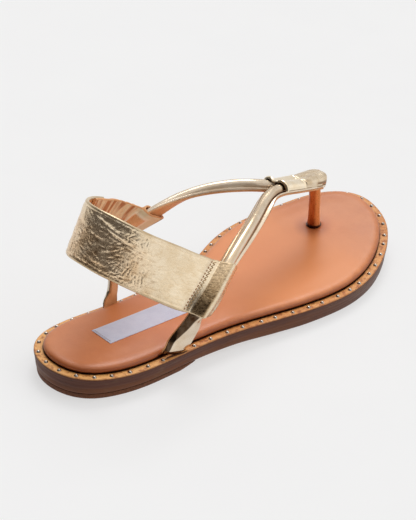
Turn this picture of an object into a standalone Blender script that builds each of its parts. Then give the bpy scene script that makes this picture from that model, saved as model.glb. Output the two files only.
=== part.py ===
"""Toe post sandal, right shoe: flat stacked sole, studded welt, padded footbed,
piped leather straps meeting in a metal sleeve over the toe post, and a wide heel
band that loops round both side straps.

Axes: +Y to the toe, +X to the outer (lateral) side, +Z up. The origin is on the
floor under the middle of the shoe. Tables are in millimetres and measured from
the back of the heel (y) and from the heel's own centre line (x); metres(...)
turns them into the part's frame."""

import math

import bmesh
import bpy
import numpy as np
from mathutils import Vector

# ---------------------------------------------------------------- sizes (mm)
SHOE_LENGTH = 250.0        # welt, heel back to toe tip
CENTRE_X = 6.9             # middle of the welt's width
GAP = 0.3                  # clearance kept between touching pieces
WELT_T = 2.0
SOLE_INSET = 0.9           # side of the outsole, inside the welt's edge at the floor
RIM = 4.8                  # welt left showing round the footbed
SIDE_SAMPLES = 48          # outline points on each side of the shoe

HEEL_LIFT_END = 68.5       # breast of the heel lift
STRAP_W = 8.0              # flat leather under the piping
STRAP_T = 2.2
CORD_W = 6.2               # piped cord
CORD_H = 3.2
CORD_OFFSET = 2.9          # each cord from the tab's centre line
BAND_T = 2.0
GORE_T = 1.5

# welt outline: station from the heel, inner (medial) edge, outer (lateral) edge
OUTLINE = (
    # y,     medial, lateral
    (2.5,    -13.7,  11.5),
    (8.0,    -22.3,  19.3),
    (18.0,   -29.2,  25.7),
    (35.0,   -31.7,  31.0),
    (50.0,   -29.9,  32.9),
    (65.0,   -27.2,  34.3),
    (80.0,   -25.2,  36.3),
    (95.0,   -23.8,  39.3),
    (110.0,  -23.6,  43.1),
    (125.0,  -25.9,  46.8),
    (140.0,  -30.4,  50.2),
    (155.0,  -35.8,  52.9),
    (170.0,  -39.4,  54.0),
    (185.0,  -40.1,  52.5),
    (200.0,  -38.3,  48.3),
    (215.0,  -34.9,  41.5),
    (228.0,  -30.6,  33.0),
    (239.0,  -24.6,  22.4),
    (246.5,  -16.4,   9.9),
)
HEEL_TIP = (-0.9, 0.0)
TOE_TIP = (-4.8, 250.0)

# heights along the shoe: underside of the outsole, top of the welt
LEVELS = (
    # y,    under, welt top
    (0.0,   2.9,   12.8),
    (35.0,  2.8,   11.3),
    (65.0,  2.6,   11.1),
    (95.0,  2.3,   11.2),
    (120.0, 0.9,   10.4),
    (140.0, 0.0,   9.5),
    (165.0, 0.0,   9.1),
    (190.0, 0.0,   9.5),
    (210.0, 1.0,   10.7),
    (230.0, 3.3,   12.8),
    (250.0, 6.4,   15.3),
)

# footbed edge: inset from the welt's outline, height over the welt's top
FOOTBED_EDGE = (
    # inset, height
    (6.2,   0.3),
    (5.1,   0.7),
    (4.8,   1.5),
    (5.0,   2.4),
    (5.8,   3.2),
    (7.4,   3.8),
    (10.5,  4.1),
)
FOOTBED_TOP = 4.3

# straps, centre of the section: x, y, z, lean of the outer face from straight up
# towards the outside (degrees), width, height of the cord over the flat leather
LATERAL_STRAP = (
    # x,    y,     z,    lean, width, cord
    (28.4,  56.0,  11.5, 100,  16.0,  1.0),
    (31.8,  59.6,  19.0, 92,   10.8,  2.0),
    (35.1,  62.5,  27.0, 78,   8.3,   3.0),
    (37.4,  64.9,  32.8, 67,   8.0,   3.2),
    (38.0,  73.3,  40.3, 61,   8.0,   3.2),
    (35.7,  83.0,  45.5, 61,   8.0,   3.2),
    (32.8,  92.3,  49.3, 62,   8.0,   3.2),
    (29.7,  101.6, 52.2, 53,   8.0,   3.2),
    (26.3,  111.2, 54.3, 40,   8.0,   3.2),
    (22.0,  121.7, 55.6, 29,   8.0,   3.2),
    (16.5,  133.5, 56.2, 18,   8.0,   3.2),
    (10.4,  146.0, 56.6, 8,    8.0,   3.2),
    (6.7,   156.0, 56.8, 2,    8.0,   3.2),
)
MEDIAL_STRAP = (
    # x,    y,     z,    lean, width, cord
    (-23.9, 63.9,  11.5, 105,  16.0,  1.0),
    (-27.6, 68.4,  18.5, 101,  10.8,  2.0),
    (-31.3, 72.6,  26.0, 96,   8.3,   3.0),
    (-34.0, 76.5,  32.6, 90,   8.0,   3.2),
    (-35.1, 80.5,  38.3, 82,   8.0,   3.2),
    (-34.5, 85.2,  44.1, 78,   8.0,   3.2),
    (-31.6, 90.9,  49.0, 77,   8.0,   3.2),
    (-28.2, 97.5,  52.6, 75,   8.0,   3.2),
    (-25.6, 105.3, 55.4, 62,   8.0,   3.2),
    (-22.9, 114.8, 57.7, 44,   8.0,   3.2),
    (-18.6, 125.9, 59.5, 28,   8.0,   3.2),
    (-11.8, 139.5, 60.1, 13,   8.0,   3.2),
    (-5.5,  150.5, 59.2, 5,    8.0,   3.2),
    (-1.6,  158.0, 57.6, 1,    8.0,   3.2),
)
# centre line that both cords follow side by side, from the sleeve to the toe post
TAB_LINE = (
    # x,   y,     z
    (2.7,  165.0, 55.3),
    (2.4,  174.5, 52.7),
    (2.0,  184.0, 50.0),
    (1.0,  200.5, 45.4),
)
# leather folded over the front of the tab: station, half width, below, above
TAB_FOLD = (
    # y,    half, below, above
    (187.5, 6.0,  2.3,   2.4),
    (188.8, 6.8,  2.8,   3.4),
    (191.5, 7.0,  3.0,   4.2),
    (196.0, 6.9,  3.1,   4.6),
    (199.5, 6.5,  3.1,   4.5),
    (202.0, 5.8,  2.9,   3.9),
    (203.6, 4.7,  2.3,   2.9),
    (204.4, 3.2,  1.3,   1.6),
)
# toe post centre line and half sizes across and along the shoe
TOE_POST = (
    # x,    y,     z,    across, along
    (1.0,   200.4, 44.6, 2.8,    2.4),
    (0.4,   200.8, 40.5, 3.5,    2.9),
    (-0.3,  202.1, 35.0, 3.4,    3.0),
    (-1.3,  203.6, 26.0, 3.3,    3.0),
    (-2.1,  204.9, 18.0, 3.5,    3.2),
    (-2.7,  205.8, 13.0, 3.9,    3.5),
    (-2.9,  206.1, 10.9, 3.9,    3.5),
)

# heel band, outer face: share of the way from the lateral loop round the heel to
# the medial loop, lower edge, upper edge
BAND = (
    # share  lower edge x, y, z      upper edge x, y, z
    (0.0,    42.3, 67.9, 30.2,       32.4, 87.3, 51.2),
    (0.067,  30.7, 46.1, 44.3,       26.0, 64.9, 67.6),
    (0.134,  24.2, 35.2, 52.2,       22.8, 52.7, 75.8),
    (0.202,  19.3, 28.3, 57.4,       20.0, 44.9, 81.3),
    (0.269,  14.6, 23.7, 60.9,       16.5, 39.6, 85.3),
    (0.336,  9.5, 20.8, 63.2,        11.7, 36.2, 88.1),
    (0.403,  3.9, 19.5, 64.6,        5.9, 34.4, 89.7),
    (0.471,  -2.1, 19.7, 64.9,       -0.6, 34.0, 90.1),
    (0.538,  -8.3, 21.1, 64.2,       -7.2, 35.1, 89.6),
    (0.605,  -14.4, 23.8, 62.7,      -13.4, 37.6, 88.3),
    (0.672,  -19.8, 28.1, 60.6,      -18.8, 41.7, 86.3),
    (0.739,  -24.5, 33.8, 58.1,      -23.3, 47.5, 83.7),
    (0.807,  -28.4, 40.7, 54.8,      -26.8, 54.8, 80.2),
    (0.874,  -32.0, 49.6, 50.1,      -29.4, 64.3, 75.3),
    (0.941,  -35.6, 62.6, 42.5,      -30.7, 78.2, 67.6),
    (1.0,    -39.2, 82.6, 29.8,      -29.1, 99.0, 54.7),
)
BAND_START = 0.045
LEATHER_END = 0.868        # cut end of the leather over the gore
GORE_START = 0.770         # hidden end of the gore under the leather
GORE_END = 0.958
ACROSS = 5                 # sections across the band's width
LATERAL_LOOP = (64.9, 92.3)    # the loop's two ends, as stations y of the strap
MEDIAL_LOOP = (76.5, 100.1)
# loop round a strap, seen along the strap: forward, outward, of wall and of hole
LOOP = (
    # wall a, b      hole a, b
    (-6.6, 1.0,      -5.0, 0.3),
    (-4.6, 2.7,      -3.8, 1.6),
    (-2.3, 4.0,      -2.0, 2.9),
    (0.0, 4.6,       0.0, 3.3),
    (2.3, 4.0,       2.0, 2.9),
    (4.5, 2.3,       3.7, 1.3),
    (6.5, 0.7,       4.9, 0.1),
    (8.2, -0.8,      5.2, -0.8),
    (8.1, -2.1,      5.0, -1.8),
    (5.6, -3.9,      4.5, -3.1),
    (2.5, -4.5,      2.2, -3.3),
    (-1.5, -4.5,     -1.5, -3.3),
    (-4.6, -3.7,     -4.4, -3.0),
    (-6.6, -1.0,     -5.2, -1.3),
)
# metal sleeve: station, extra wall (rolled rims at the back, a bead at the front)
SLEEVE = (
    # medial y, lateral y, clearance, wall
    (160.8,     163.6,     0.9,       0.9),
    (161.8,     164.6,     0.8,       1.3),
    (163.0,     165.7,     0.55,      1.2),
    (164.2,     166.6,     0.45,      0.8),
    (169.5,     171.0,     0.45,      0.8),
    (175.5,     176.0,     0.45,      0.8),
    (180.4,     180.4,     0.45,      0.8),
    (181.2,     181.2,     0.45,      1.3),
    (182.2,     182.2,     0.45,      1.3),
    (182.8,     182.8,     0.45,      0.8),
)


# ------------------------------------------------------------- curves, tables
def metres(p):
    return ((p[0] - CENTRE_X) * 0.001, (p[1] - SHOE_LENGTH / 2) * 0.001, p[2] * 0.001)


def smooth(rows, column):
    """Monotone cubic through one column of a table, by its first column."""
    x = np.array([r[0] for r in rows], float)
    y = np.array([r[column] for r in rows], float)
    h = np.diff(x)
    d = np.diff(y) / h
    m = np.zeros(len(x))
    m[0], m[-1] = d[0], d[-1]
    for i in range(1, len(x) - 1):
        if d[i - 1] * d[i] > 0:
            w1, w2 = 2 * h[i] + h[i - 1], h[i] + 2 * h[i - 1]
            m[i] = (w1 + w2) / (w1 / d[i - 1] + w2 / d[i])

    def value(q):
        q = float(min(max(q, x[0]), x[-1]))
        i = min(int(np.searchsorted(x, q, side="right")) - 1, len(x) - 2)
        t = (q - x[i]) / h[i]
        return float(
            (2 * t**3 - 3 * t**2 + 1) * y[i] + (t**3 - 2 * t**2 + t) * h[i] * m[i]
            + (3 * t**2 - 2 * t**3) * y[i + 1] + (t**3 - t**2) * h[i] * m[i + 1]
        )

    return value


def spline(points, closed=False):
    """Cubic spline through points by chord length; returns (function, length)."""
    p = np.array(points, float)
    if closed:
        p = np.vstack([p, p[:1]])
    t = np.concatenate([[0.0], np.cumsum(np.linalg.norm(np.diff(p, axis=0), axis=1))])
    n, h = len(p), np.diff(t)
    a, b = np.zeros((n, n)), np.zeros((n, p.shape[1]))
    for i in range(1, n - 1):
        a[i, i - 1], a[i, i], a[i, i + 1] = h[i - 1], 2 * (h[i - 1] + h[i]), h[i]
        b[i] = 6 * ((p[i + 1] - p[i]) / h[i] - (p[i] - p[i - 1]) / h[i - 1])
    if closed:
        a[0, 0], a[0, -1] = 1, -1
        a[-1, 0], a[-1, 1] = 2 * (h[0] + h[-1]), h[0]
        a[-1, -2] = h[-1]
        b[-1] = 6 * ((p[1] - p[0]) / h[0] - (p[-1] - p[-2]) / h[-1])
    else:
        a[0, 0] = a[-1, -1] = 1
    m = np.linalg.solve(a, b)

    def value(q):
        q = q % t[-1] if closed else min(max(q, 0.0), t[-1])
        i = min(int(np.searchsorted(t, q, side="right")) - 1, n - 2)
        u, v = t[i + 1] - q, q - t[i]
        return (
            m[i] * u**3 / (6 * h[i]) + m[i + 1] * v**3 / (6 * h[i])
            + (p[i] / h[i] - m[i] * h[i] / 6) * u + (p[i + 1] / h[i] - m[i + 1] * h[i] / 6) * v
        )

    return value, float(t[-1])


def unit(v):
    return v / np.linalg.norm(v)


UNDER = smooth(LEVELS, 1)
WELT_TOP = smooth(LEVELS, 2)


def shoe_outline():
    """Even points round the welt: heel tip, lateral side, toe tip, medial side.
    Point i on the lateral side pairs with point -i on the medial side."""
    loop = [HEEL_TIP] + [(r[2], r[0]) for r in OUTLINE] + [TOE_TIP]
    loop += [(r[1], r[0]) for r in reversed(OUTLINE)]
    at, total = spline(loop, closed=True)
    fine = np.array([at(total * k / 2000) for k in range(2000)])
    toe = int(np.argmax(fine[:, 1]))
    heel = int(np.argmin(fine[:, 1]))
    heel = heel - 2000 if heel > toe else heel
    ends = []
    for k in range(SIDE_SAMPLES):
        ends.append(heel + (toe - heel) * k / SIDE_SAMPLES)
    for k in range(SIDE_SAMPLES):
        ends.append(toe + (heel + 2000 - toe) * k / SIDE_SAMPLES)
    pts = np.array([at(total * (e % 2000) / 2000) for e in ends])
    d = np.array([at(total * ((e + 2) % 2000) / 2000) - at(total * ((e - 2) % 2000) / 2000) for e in ends])
    out = np.stack([d[:, 1], -d[:, 0]], 1)
    return pts, out / np.linalg.norm(out, axis=1)[:, None]


# ------------------------------------------------------------------- objects
def clear_scene():
    for obj in list(bpy.data.objects):
        bpy.data.objects.remove(obj, do_unlink=True)


def collection(name):
    coll = bpy.data.collections.new(name)
    bpy.context.scene.collection.children.link(coll)
    return coll


def material(name, colour, roughness, metallic=0.0):
    mat = bpy.data.materials.new(name)
    mat.use_nodes = True
    shader = mat.node_tree.nodes["Principled BSDF"]
    shader.inputs["Base Color"].default_value = (*colour, 1.0)
    shader.inputs["Roughness"].default_value = roughness
    shader.inputs["Metallic"].default_value = metallic
    return mat


def solid(name, verts, faces, coll, mat=None, sharp=50.0):
    """Mesh object from points in millimetres, its faces turned outward."""
    bm = bmesh.new()
    made = [bm.verts.new(metres(v)) for v in verts]
    for face in faces:
        if len(set(face)) > 2:
            bm.faces.new([made[i] for i in face])
    bmesh.ops.recalc_face_normals(bm, faces=bm.faces)
    mesh = bpy.data.meshes.new(name)
    bm.to_mesh(mesh)
    bm.free()
    mesh.shade_smooth()
    mesh.set_sharp_from_angle(angle=math.radians(sharp))
    obj = bpy.data.objects.new(name, mesh)
    coll.objects.link(obj)
    if mat:
        mesh.materials.append(mat)
    return obj


def cutter(obj):
    obj.hide_render = True
    obj.display_type = "WIRE"
    return obj


def boolean(obj, other, operation):
    modifier = obj.modifiers.new(operation.lower() + "_" + other.name, "BOOLEAN")
    modifier.object = other
    modifier.operation = operation
    modifier.solver = "EXACT"


def skin(rings, closed_ring=True, cap=True):
    """Points and faces of a loft through rings with equal numbers of points."""
    verts = [tuple(p) for ring in rings for p in ring]
    n = len(rings[0])
    faces = []
    for r in range(len(rings) - 1):
        for i in range(n if closed_ring else n - 1):
            j = (i + 1) % n
            faces.append((r * n + i, r * n + j, (r + 1) * n + j, (r + 1) * n + i))
    if cap:
        faces.append(tuple(reversed(range(n))))
        faces.append(tuple(range((len(rings) - 1) * n, len(rings) * n)))
    return verts, faces


def plate(name, rings, low, high, columns, coll, mat):
    """Closed plate with the shoe's outline. rings go from the underside to the top,
    each (inset, height function); low and high fill the two faces."""
    pts, out = shoe_outline()
    n, m = len(pts), SIDE_SAMPLES
    verts, faces = [], []
    for inset, level in rings:
        for p, o in zip(pts, out):
            q = p - o * inset
            verts.append((q[0], q[1], level(q[0], q[1])))
    for r in range(len(rings) - 1):
        for i in range(n):
            j = (i + 1) % n
            faces.append((r * n + i, r * n + j, (r + 1) * n + j, (r + 1) * n + i))
    for base, level, across in ((0, low, columns[0]), ((len(rings) - 1) * n, high, columns[1])):
        rows = []
        for i in range(1, m):
            a, b = np.array(verts[base + i]), np.array(verts[base + n - i])
            row = [base + i]
            for k in range(1, across + 1):
                q = a + (b - a) * k / (across + 1)
                verts.append((q[0], q[1], level(q[0], q[1])))
                row.append(len(verts) - 1)
            rows.append(row + [base + n - i])
        flip = base == 0
        for tip, row in ((base, rows[0]), (base + m, rows[-1])):
            for k in range(len(row) - 1):
                faces.append((tip, row[k], row[k + 1]))
        for one, two in zip(rows, rows[1:]):
            for k in range(len(one) - 1):
                face = (one[k], one[k + 1], two[k + 1], two[k])
                faces.append(tuple(reversed(face)) if flip else face)
    return solid(name, verts, faces, coll, mat, sharp=40.0)


def block(name, low, high, coll):
    """Rectangular block between two corners given in millimetres."""
    low, high = Vector(metres(low)), Vector(metres(high))
    bm = bmesh.new()
    bmesh.ops.create_cube(bm, size=1.0)
    bmesh.ops.scale(bm, vec=high - low, verts=bm.verts)
    bmesh.ops.translate(bm, vec=(high + low) / 2, verts=bm.verts)
    mesh = bpy.data.meshes.new(name)
    bm.to_mesh(mesh)
    bm.free()
    obj = bpy.data.objects.new(name, mesh)
    coll.objects.link(obj)
    return obj


# ------------------------------------------------------------------ straps
class Strap:
    """A piped strap: a spline through its table, then along the tab."""

    def __init__(self, rows, side):
        self.side = side
        rows = list(rows)
        for x, y, z in TAB_LINE:
            rows.append((x + side * CORD_OFFSET, y, z, 0.0, STRAP_W, CORD_H))
        self.at, self.length = spline([r[:3] for r in rows])
        p = np.array([r[:3] for r in rows], float)
        s = np.concatenate([[0.0], np.cumsum(np.linalg.norm(np.diff(p, axis=0), axis=1))])
        table = [(s[i], rows[i][3], rows[i][4], rows[i][5]) for i in range(len(rows))]
        self.lean, self.width, self.cord = (smooth(table, k) for k in (1, 2, 3))

    def frame(self, s):
        """Centre, direction, forward (across the strap) and outward at length s."""
        t = unit(self.at(s + 0.5) - self.at(s - 0.5))
        lean = math.radians(self.lean(s))
        n = np.array([self.side * math.sin(lean), 0.0, math.cos(lean)])
        n = unit(n - t * (n @ t))
        return self.at(s), t, np.cross(n, t) * self.side, n

    def station(self, y):
        s = np.linspace(0.0, self.length, 600)
        ys = np.array([self.at(v)[1] for v in s])
        return float(s[int(np.argmin(abs(ys - y)))])

    def section(self, s):
        c, t, a, n = self.frame(s)
        w, cord = self.width(s) / 2, self.cord(s)
        half = (STRAP_T + CORD_H) / 2
        flat = STRAP_T - half
        cw = min(CORD_W / 2 + (CORD_H - cord) * 1.3, w - 0.7)
        outline = [(-w + 0.5, -half), (w - 0.5, -half), (w, -half + 0.6), (w, flat - 0.4), (w - 0.5, flat)]
        for angle in (8, 45, 90, 135, 172):
            r = math.radians(angle)
            outline.append((cw * math.cos(r), flat + 0.05 + cord * math.sin(r)))
        outline += [(-w + 0.5, flat), (-w, flat - 0.4), (-w, -half + 0.6)]
        return [c + a * u + n * v for u, v in outline]

    def body(self, name, coll, stations):
        rings = [self.section(self.length * k / stations) for k in range(stations + 1)]
        verts, faces = skin(rings)
        return solid(name, verts, faces, coll)


def tab_frame():
    """Spline down the tab's centre line with its upward normal."""
    at, length = spline(TAB_LINE + ((0.6, 209.0, 43.0),))

    def frame(y):
        s = np.linspace(0.0, length, 400)
        ys = np.array([at(v)[1] for v in s])
        k = float(np.interp(y, ys, s))
        t = unit(at(k + 0.5) - at(k - 0.5)) if 0.5 < k else unit(at(0.6) - at(0.0))
        n = unit(np.array([0.0, 0.0, 1.0]) - t * t[2])
        return at(k), t, np.cross(t, n), n

    return frame


def rounded(half, below, above, count=16):
    """Section of the folded tab: flat-sided oval, taller above than below."""
    points = []
    for k in range(count):
        r = 2 * math.pi * (k + 0.5) / count
        c, s = math.cos(r), math.sin(r)
        c = math.copysign(abs(c) ** 0.62, c)
        s = math.copysign(abs(s) ** 0.62, s)
        points.append((half * c, (above if s > 0 else below) * s))
    return points


def upper_pieces(coll, cutters, mat):
    lateral, medial = Strap(LATERAL_STRAP, 1), Strap(MEDIAL_STRAP, -1)
    upper = medial.body("upper", coll, 46)
    upper.data.materials.append(mat)
    other = cutter(lateral.body("strap_lateral_part", cutters, 44))
    frame = tab_frame()
    rings = []
    for y, half, below, above in TAB_FOLD:
        c, t, a, n = frame(y)
        rings.append([c + a * u + n * v for u, v in rounded(half, below, above)])
    verts, faces = skin(rings)
    fold = cutter(solid("tab_fold_part", verts, faces, cutters))
    rings = []
    for x, y, z, across, along in TOE_POST:
        ring = []
        for k in range(12):
            r = 2 * math.pi * (k + 0.5) / 12
            ring.append((x + across * math.cos(r), y + along * math.sin(r), z))
        rings.append(ring)
    verts, faces = skin(rings)
    post = cutter(solid("toe_post_part", verts, faces, cutters))
    for piece in (other, fold, post):
        boolean(upper, piece, "UNION")
    return upper, lateral, medial


def sleeve(coll, mat, lateral, medial):
    """Metal sleeve clipped over both cords, open underneath where the flat leather
    of the straps runs through. Its two humps follow the cords."""
    half = (STRAP_T + CORD_H) / 2
    flat = STRAP_T - half + 0.05
    rings = []
    for medial_y, lateral_y, clear, wall in SLEEVE:
        inner, outer = [], []
        for grow, points in ((clear, inner), (clear + wall, outer)):
            cw, ch = CORD_W / 2 + grow, CORD_H + grow
            halves = []
            for strap, y in ((lateral, lateral_y), (medial, medial_y)):
                c, t, a, n = strap.frame(strap.station(y))
                a = a if a[0] * strap.side > 0 else -a
                hump = []
                low, high = math.radians(6), math.radians(128)
                for k in range(8):
                    r = low + (high - low) * k / 7
                    hump.append(c + a * (cw * math.cos(r)) + n * (flat + ch * math.sin(r)))
                halves.append(hump)
            join = (halves[0][-1] + halves[1][-1]) / 2
            points.extend(halves[0][:-1] + [join] + list(reversed(halves[1][:-1])))
        rings.append(outer + list(reversed(inner)))
    verts, faces = skin(rings, cap=False)
    n = len(rings[0])
    h = n // 2
    for base in (0, (len(rings) - 1) * n):
        for k in range(h - 1):
            faces.append((base + k, base + k + 1, base + n - 2 - k, base + n - 1 - k))
    return solid("sleeve", verts, faces, coll, mat, sharp=35.0)


# --------------------------------------------------------------- heel band
def band_surface():
    lower = [smooth(BAND, k) for k in (1, 2, 3)]
    upper = [smooth(BAND, k) for k in (4, 5, 6)]
    low_at, low_len = spline([r[1:4] for r in BAND])
    up_at, up_len = spline([r[4:7] for r in BAND])
    shares = [r[0] for r in BAND]

    def chords(points):
        p = np.array(points, float)
        return np.concatenate([[0.0], np.cumsum(np.linalg.norm(np.diff(p, axis=0), axis=1))])

    low_s = chords([r[1:4] for r in BAND])
    up_s = chords([r[4:7] for r in BAND])

    def point(t, v):
        a = low_at(float(np.interp(t, shares, low_s)))
        b = up_at(float(np.interp(t, shares, up_s)))
        return a + (b - a) * v

    def normal(t, v):
        along = point(t + 0.01, v) - point(t - 0.01, v)
        across = point(t, 1.0) - point(t, 0.0)
        return unit(np.cross(across, along))

    return point, normal


def looped_strip(name, strap, ends, shares, offset, thick, outward, coll, mat):
    """A strip that leaves a loop round one strap and follows the band's surface.
    shares run from the loop's end; offset(t) moves the middle of the leather."""
    point, normal = band_surface()
    s0, s1 = strap.station(ends[0]), strap.station(ends[1])
    levels = []
    for k in range(ACROSS):
        v = k / (ACROSS - 1)
        c, t, a, n = strap.frame(s0 + (s1 - s0) * v)
        a = -a if a[1] < 0 else a
        middle = [point(share, v) + normal(share, v) * outward * offset(share) for share in shares]
        d = c - middle[0]
        a = a + t * ((d @ t) / (d @ a))
        level = (middle[0] - c) @ n
        level = min(max(0.35 * level, 0.0), 1.4)
        front = [5.0 + (r[0] - 5.0) * (1 - 0.4 * v) if r[0] > 5.2 else r[0] for r in LOOP]
        wall = [c + a * u + n * r[1] for u, r in zip(front, LOOP)]
        hole = [c + a * r[2] + n * r[3] for r in LOOP]
        root = c + a * LOOP[0][0] + n * level
        wall[0], wall[-1] = root + n * thick / 2, root - n * thick / 2
        wall[1] = c + a * LOOP[1][0] + n * max(LOOP[1][1], level + 1.4)
        at, length = spline([root] + middle)
        levels.append((c, t, a, n, wall, hole, at, length))
    count = max(6, int(round(levels[ACROSS // 2][7] / 4.6)))
    lines = []
    for c, t, a, n, wall, hole, at, length in levels:
        lines.append([at(length * j / count) for j in range(count + 1)])
    verts, faces, index = [], [], {}

    def add(key, p):
        index[key] = len(verts)
        verts.append(tuple(p))

    for k in range(ACROSS):
        c, t, a, n, wall, hole, at, length = levels[k]
        for i, p in enumerate(wall):
            add(("w", k, i), p)
        for i, p in enumerate(hole):
            add(("h", k, i), p)
        for j in range(1, count + 1):
            p = lines[k][j]
            along = lines[k][min(j + 1, count)] - lines[k][j - 1]
            if k == 0:
                wide = lines[1][j] - lines[0][j]
            elif k == ACROSS - 1:
                wide = lines[k][j] - lines[k - 1][j]
            else:
                wide = lines[k + 1][j] - lines[k - 1][j]
            nn = unit(np.cross(wide, along))
            if nn @ (n if j < 3 else nn) < 0:
                nn = -nn
            if j >= 3:
                ref = verts[index[("o", k, j - 1)]] - lines[k][j - 1]
                nn = -nn if nn @ ref < 0 else nn
            add(("o", k, j), p + nn * thick / 2)
            add(("i", k, j), p - nn * thick / 2)
    m = len(LOOP)
    for k in range(ACROSS):
        index[("o", k, 0)] = index[("w", k, 0)]
        index[("i", k, 0)] = index[("w", k, m - 1)]
    g = index
    for k in range(ACROSS - 1):
        for i in range(m - 1):
            faces.append((g["w", k, i], g["w", k, i + 1], g["w", k + 1, i + 1], g["w", k + 1, i]))
        for i in range(m):
            j = (i + 1) % m
            faces.append((g["h", k, j], g["h", k, i], g["h", k + 1, i], g["h", k + 1, j]))
        for j in range(count):
            faces.append((g["o", k, j + 1], g["o", k, j], g["o", k + 1, j], g["o", k + 1, j + 1]))
            faces.append((g["i", k, j], g["i", k, j + 1], g["i", k + 1, j + 1], g["i", k + 1, j]))
        faces.append((g["o", k, count], g["o", k + 1, count], g["i", k + 1, count], g["i", k, count]))
    for k in (0, ACROSS - 1):
        for i in range(m):
            j = (i + 1) % m
            faces.append((g["w", k, i], g["w", k, j], g["h", k, j], g["h", k, i]))
        for j in range(count):
            faces.append((g["o", k, j], g["o", k, j + 1], g["i", k, j + 1], g["i", k, j]))
    return solid(name, verts, faces, coll, mat, sharp=45.0)


# -------------------------------------------------------------------- build
def build():
    clear_scene()
    parts = collection("toe_post_sandal")
    cutters = collection("cutters")

    brown = material("sole_brown", (0.075, 0.035, 0.024), 0.55)
    tan_edge = material("welt_tan", (0.72, 0.30, 0.12), 0.5)
    tan = material("footbed_leather", (0.60, 0.26, 0.14), 0.5)
    gold = material("gold_leather", (0.83, 0.68, 0.48), 0.3, 0.8)
    gore_gold = material("gold_elastic", (0.72, 0.55, 0.36), 0.55, 0.4)
    metal = material("polished_metal", (0.9, 0.78, 0.6), 0.12, 1.0)

    def sole_top(x, y):
        return WELT_TOP(y) - WELT_T - GAP

    under = lambda x, y: UNDER(y)
    plate(
        "outsole",
        (
            (SOLE_INSET + 1.0, under),
            (SOLE_INSET + 0.3, lambda x, y: UNDER(y) + 0.4),
            (SOLE_INSET, lambda x, y: UNDER(y) + 1.3),
            (0.15, sole_top),
        ),
        under, sole_top, (2, 1), parts, brown,
    )
    lift = plate(
        "heel_lift",
        (
            (SOLE_INSET + 1.5, lambda x, y: 0.0),
            (SOLE_INSET + 0.6, lambda x, y: 0.6),
            (SOLE_INSET + 0.4, lambda x, y: max(1.0, UNDER(y) - GAP)),
        ),
        lambda x, y: 0.0, lambda x, y: max(1.0, UNDER(y) - GAP), (1, 1), parts, brown,
    )
    boolean(lift, cutter(block("lift_breast", (-60, HEEL_LIFT_END, -3), (70, 260, 12), cutters)), "DIFFERENCE")
    plate(
        "welt",
        (
            (0.0, lambda x, y: WELT_TOP(y) - WELT_T),
            (0.0, lambda x, y: WELT_TOP(y) - 0.3),
            (0.3, lambda x, y: WELT_TOP(y)),
        ),
        lambda x, y: WELT_TOP(y) - WELT_T, lambda x, y: WELT_TOP(y), (1, 1), parts, tan_edge,
    )

    def rise(height):
        return lambda x, y: WELT_TOP(y) + height

    footbed = plate(
        "footbed", [(inset, rise(height)) for inset, height in FOOTBED_EDGE],
        rise(GAP), rise(FOOTBED_TOP), (1, 4), parts, tan,
    )

    upper, lateral, medial = upper_pieces(parts, cutters, gold)
    floor = plate(
        "sole_space", ((-12.0, lambda x, y: -8.0), (-12.0, rise(GAP))),
        lambda x, y: -8.0, rise(GAP), (1, 1), cutters, None,
    )
    boolean(upper, cutter(floor), "DIFFERENCE")
    for strap in (lateral, medial):
        rings = []
        for s in (-4.0, 4.0, 12.0):
            c, t, a, n = strap.frame(max(s, 0.0))
            c = c + t * min(s, 0.0)
            w = strap.width(max(s, 0.0)) / 2 + 0.4
            rings.append([c + a * u + n * v for u, v in ((-w, -3.2), (w, -3.2), (w, 6.0), (-w, 6.0))])
        verts, faces = skin(rings)
        slot = solid("slot_lateral" if strap is lateral else "slot_medial", verts, faces, cutters)
        boolean(footbed, cutter(slot), "DIFFERENCE")
    hole = []
    for x, y, z, across, along in (TOE_POST[-1], TOE_POST[-2], TOE_POST[-3]):
        ring = []
        for k in range(14):
            r = 2 * math.pi * k / 14
            ring.append((x + (4.4) * math.cos(r), y + 4.0 * math.sin(r), z - 3 if z < 12 else z))
        hole.append(ring)
    verts, faces = skin(hole)
    boolean(footbed, cutter(solid("post_hole", verts, faces, cutters)), "DIFFERENCE")

    sleeve(parts, metal, lateral, medial)

    leather = [BAND_START] + [r[0] for r in BAND if BAND_START < r[0] < LEATHER_END - 0.01] + [LEATHER_END]
    looped_strip("heel_band", lateral, LATERAL_LOOP, leather, lambda t: -BAND_T / 2, BAND_T, 1.0, parts, gold)
    deep = BAND_T + GAP + 0.1 + GORE_T / 2

    def gore_offset(t):
        up = min(max((t - LEATHER_END - 0.004) / 0.05, 0.0), 1.0)
        up = up * up * (3 - 2 * up)
        return -deep + (deep - GORE_T / 2) * up

    gore = [GORE_END, 0.94, 0.92, 0.905, 0.89, LEATHER_END, 0.84, 0.807, GORE_START]
    looped_strip("elastic_gore", medial, MEDIAL_LOOP, gore, gore_offset, GORE_T, 1.0, parts, gore_gold)


build()
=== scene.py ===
"""Toe post sandal, right shoe: the visual model. Tables are in millimetres, from the
back of the heel (y) and the heel's own centre line (x), as in the part's source."""

import math

import bmesh
import bpy
import numpy as np
from mathutils import Matrix, Vector


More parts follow.
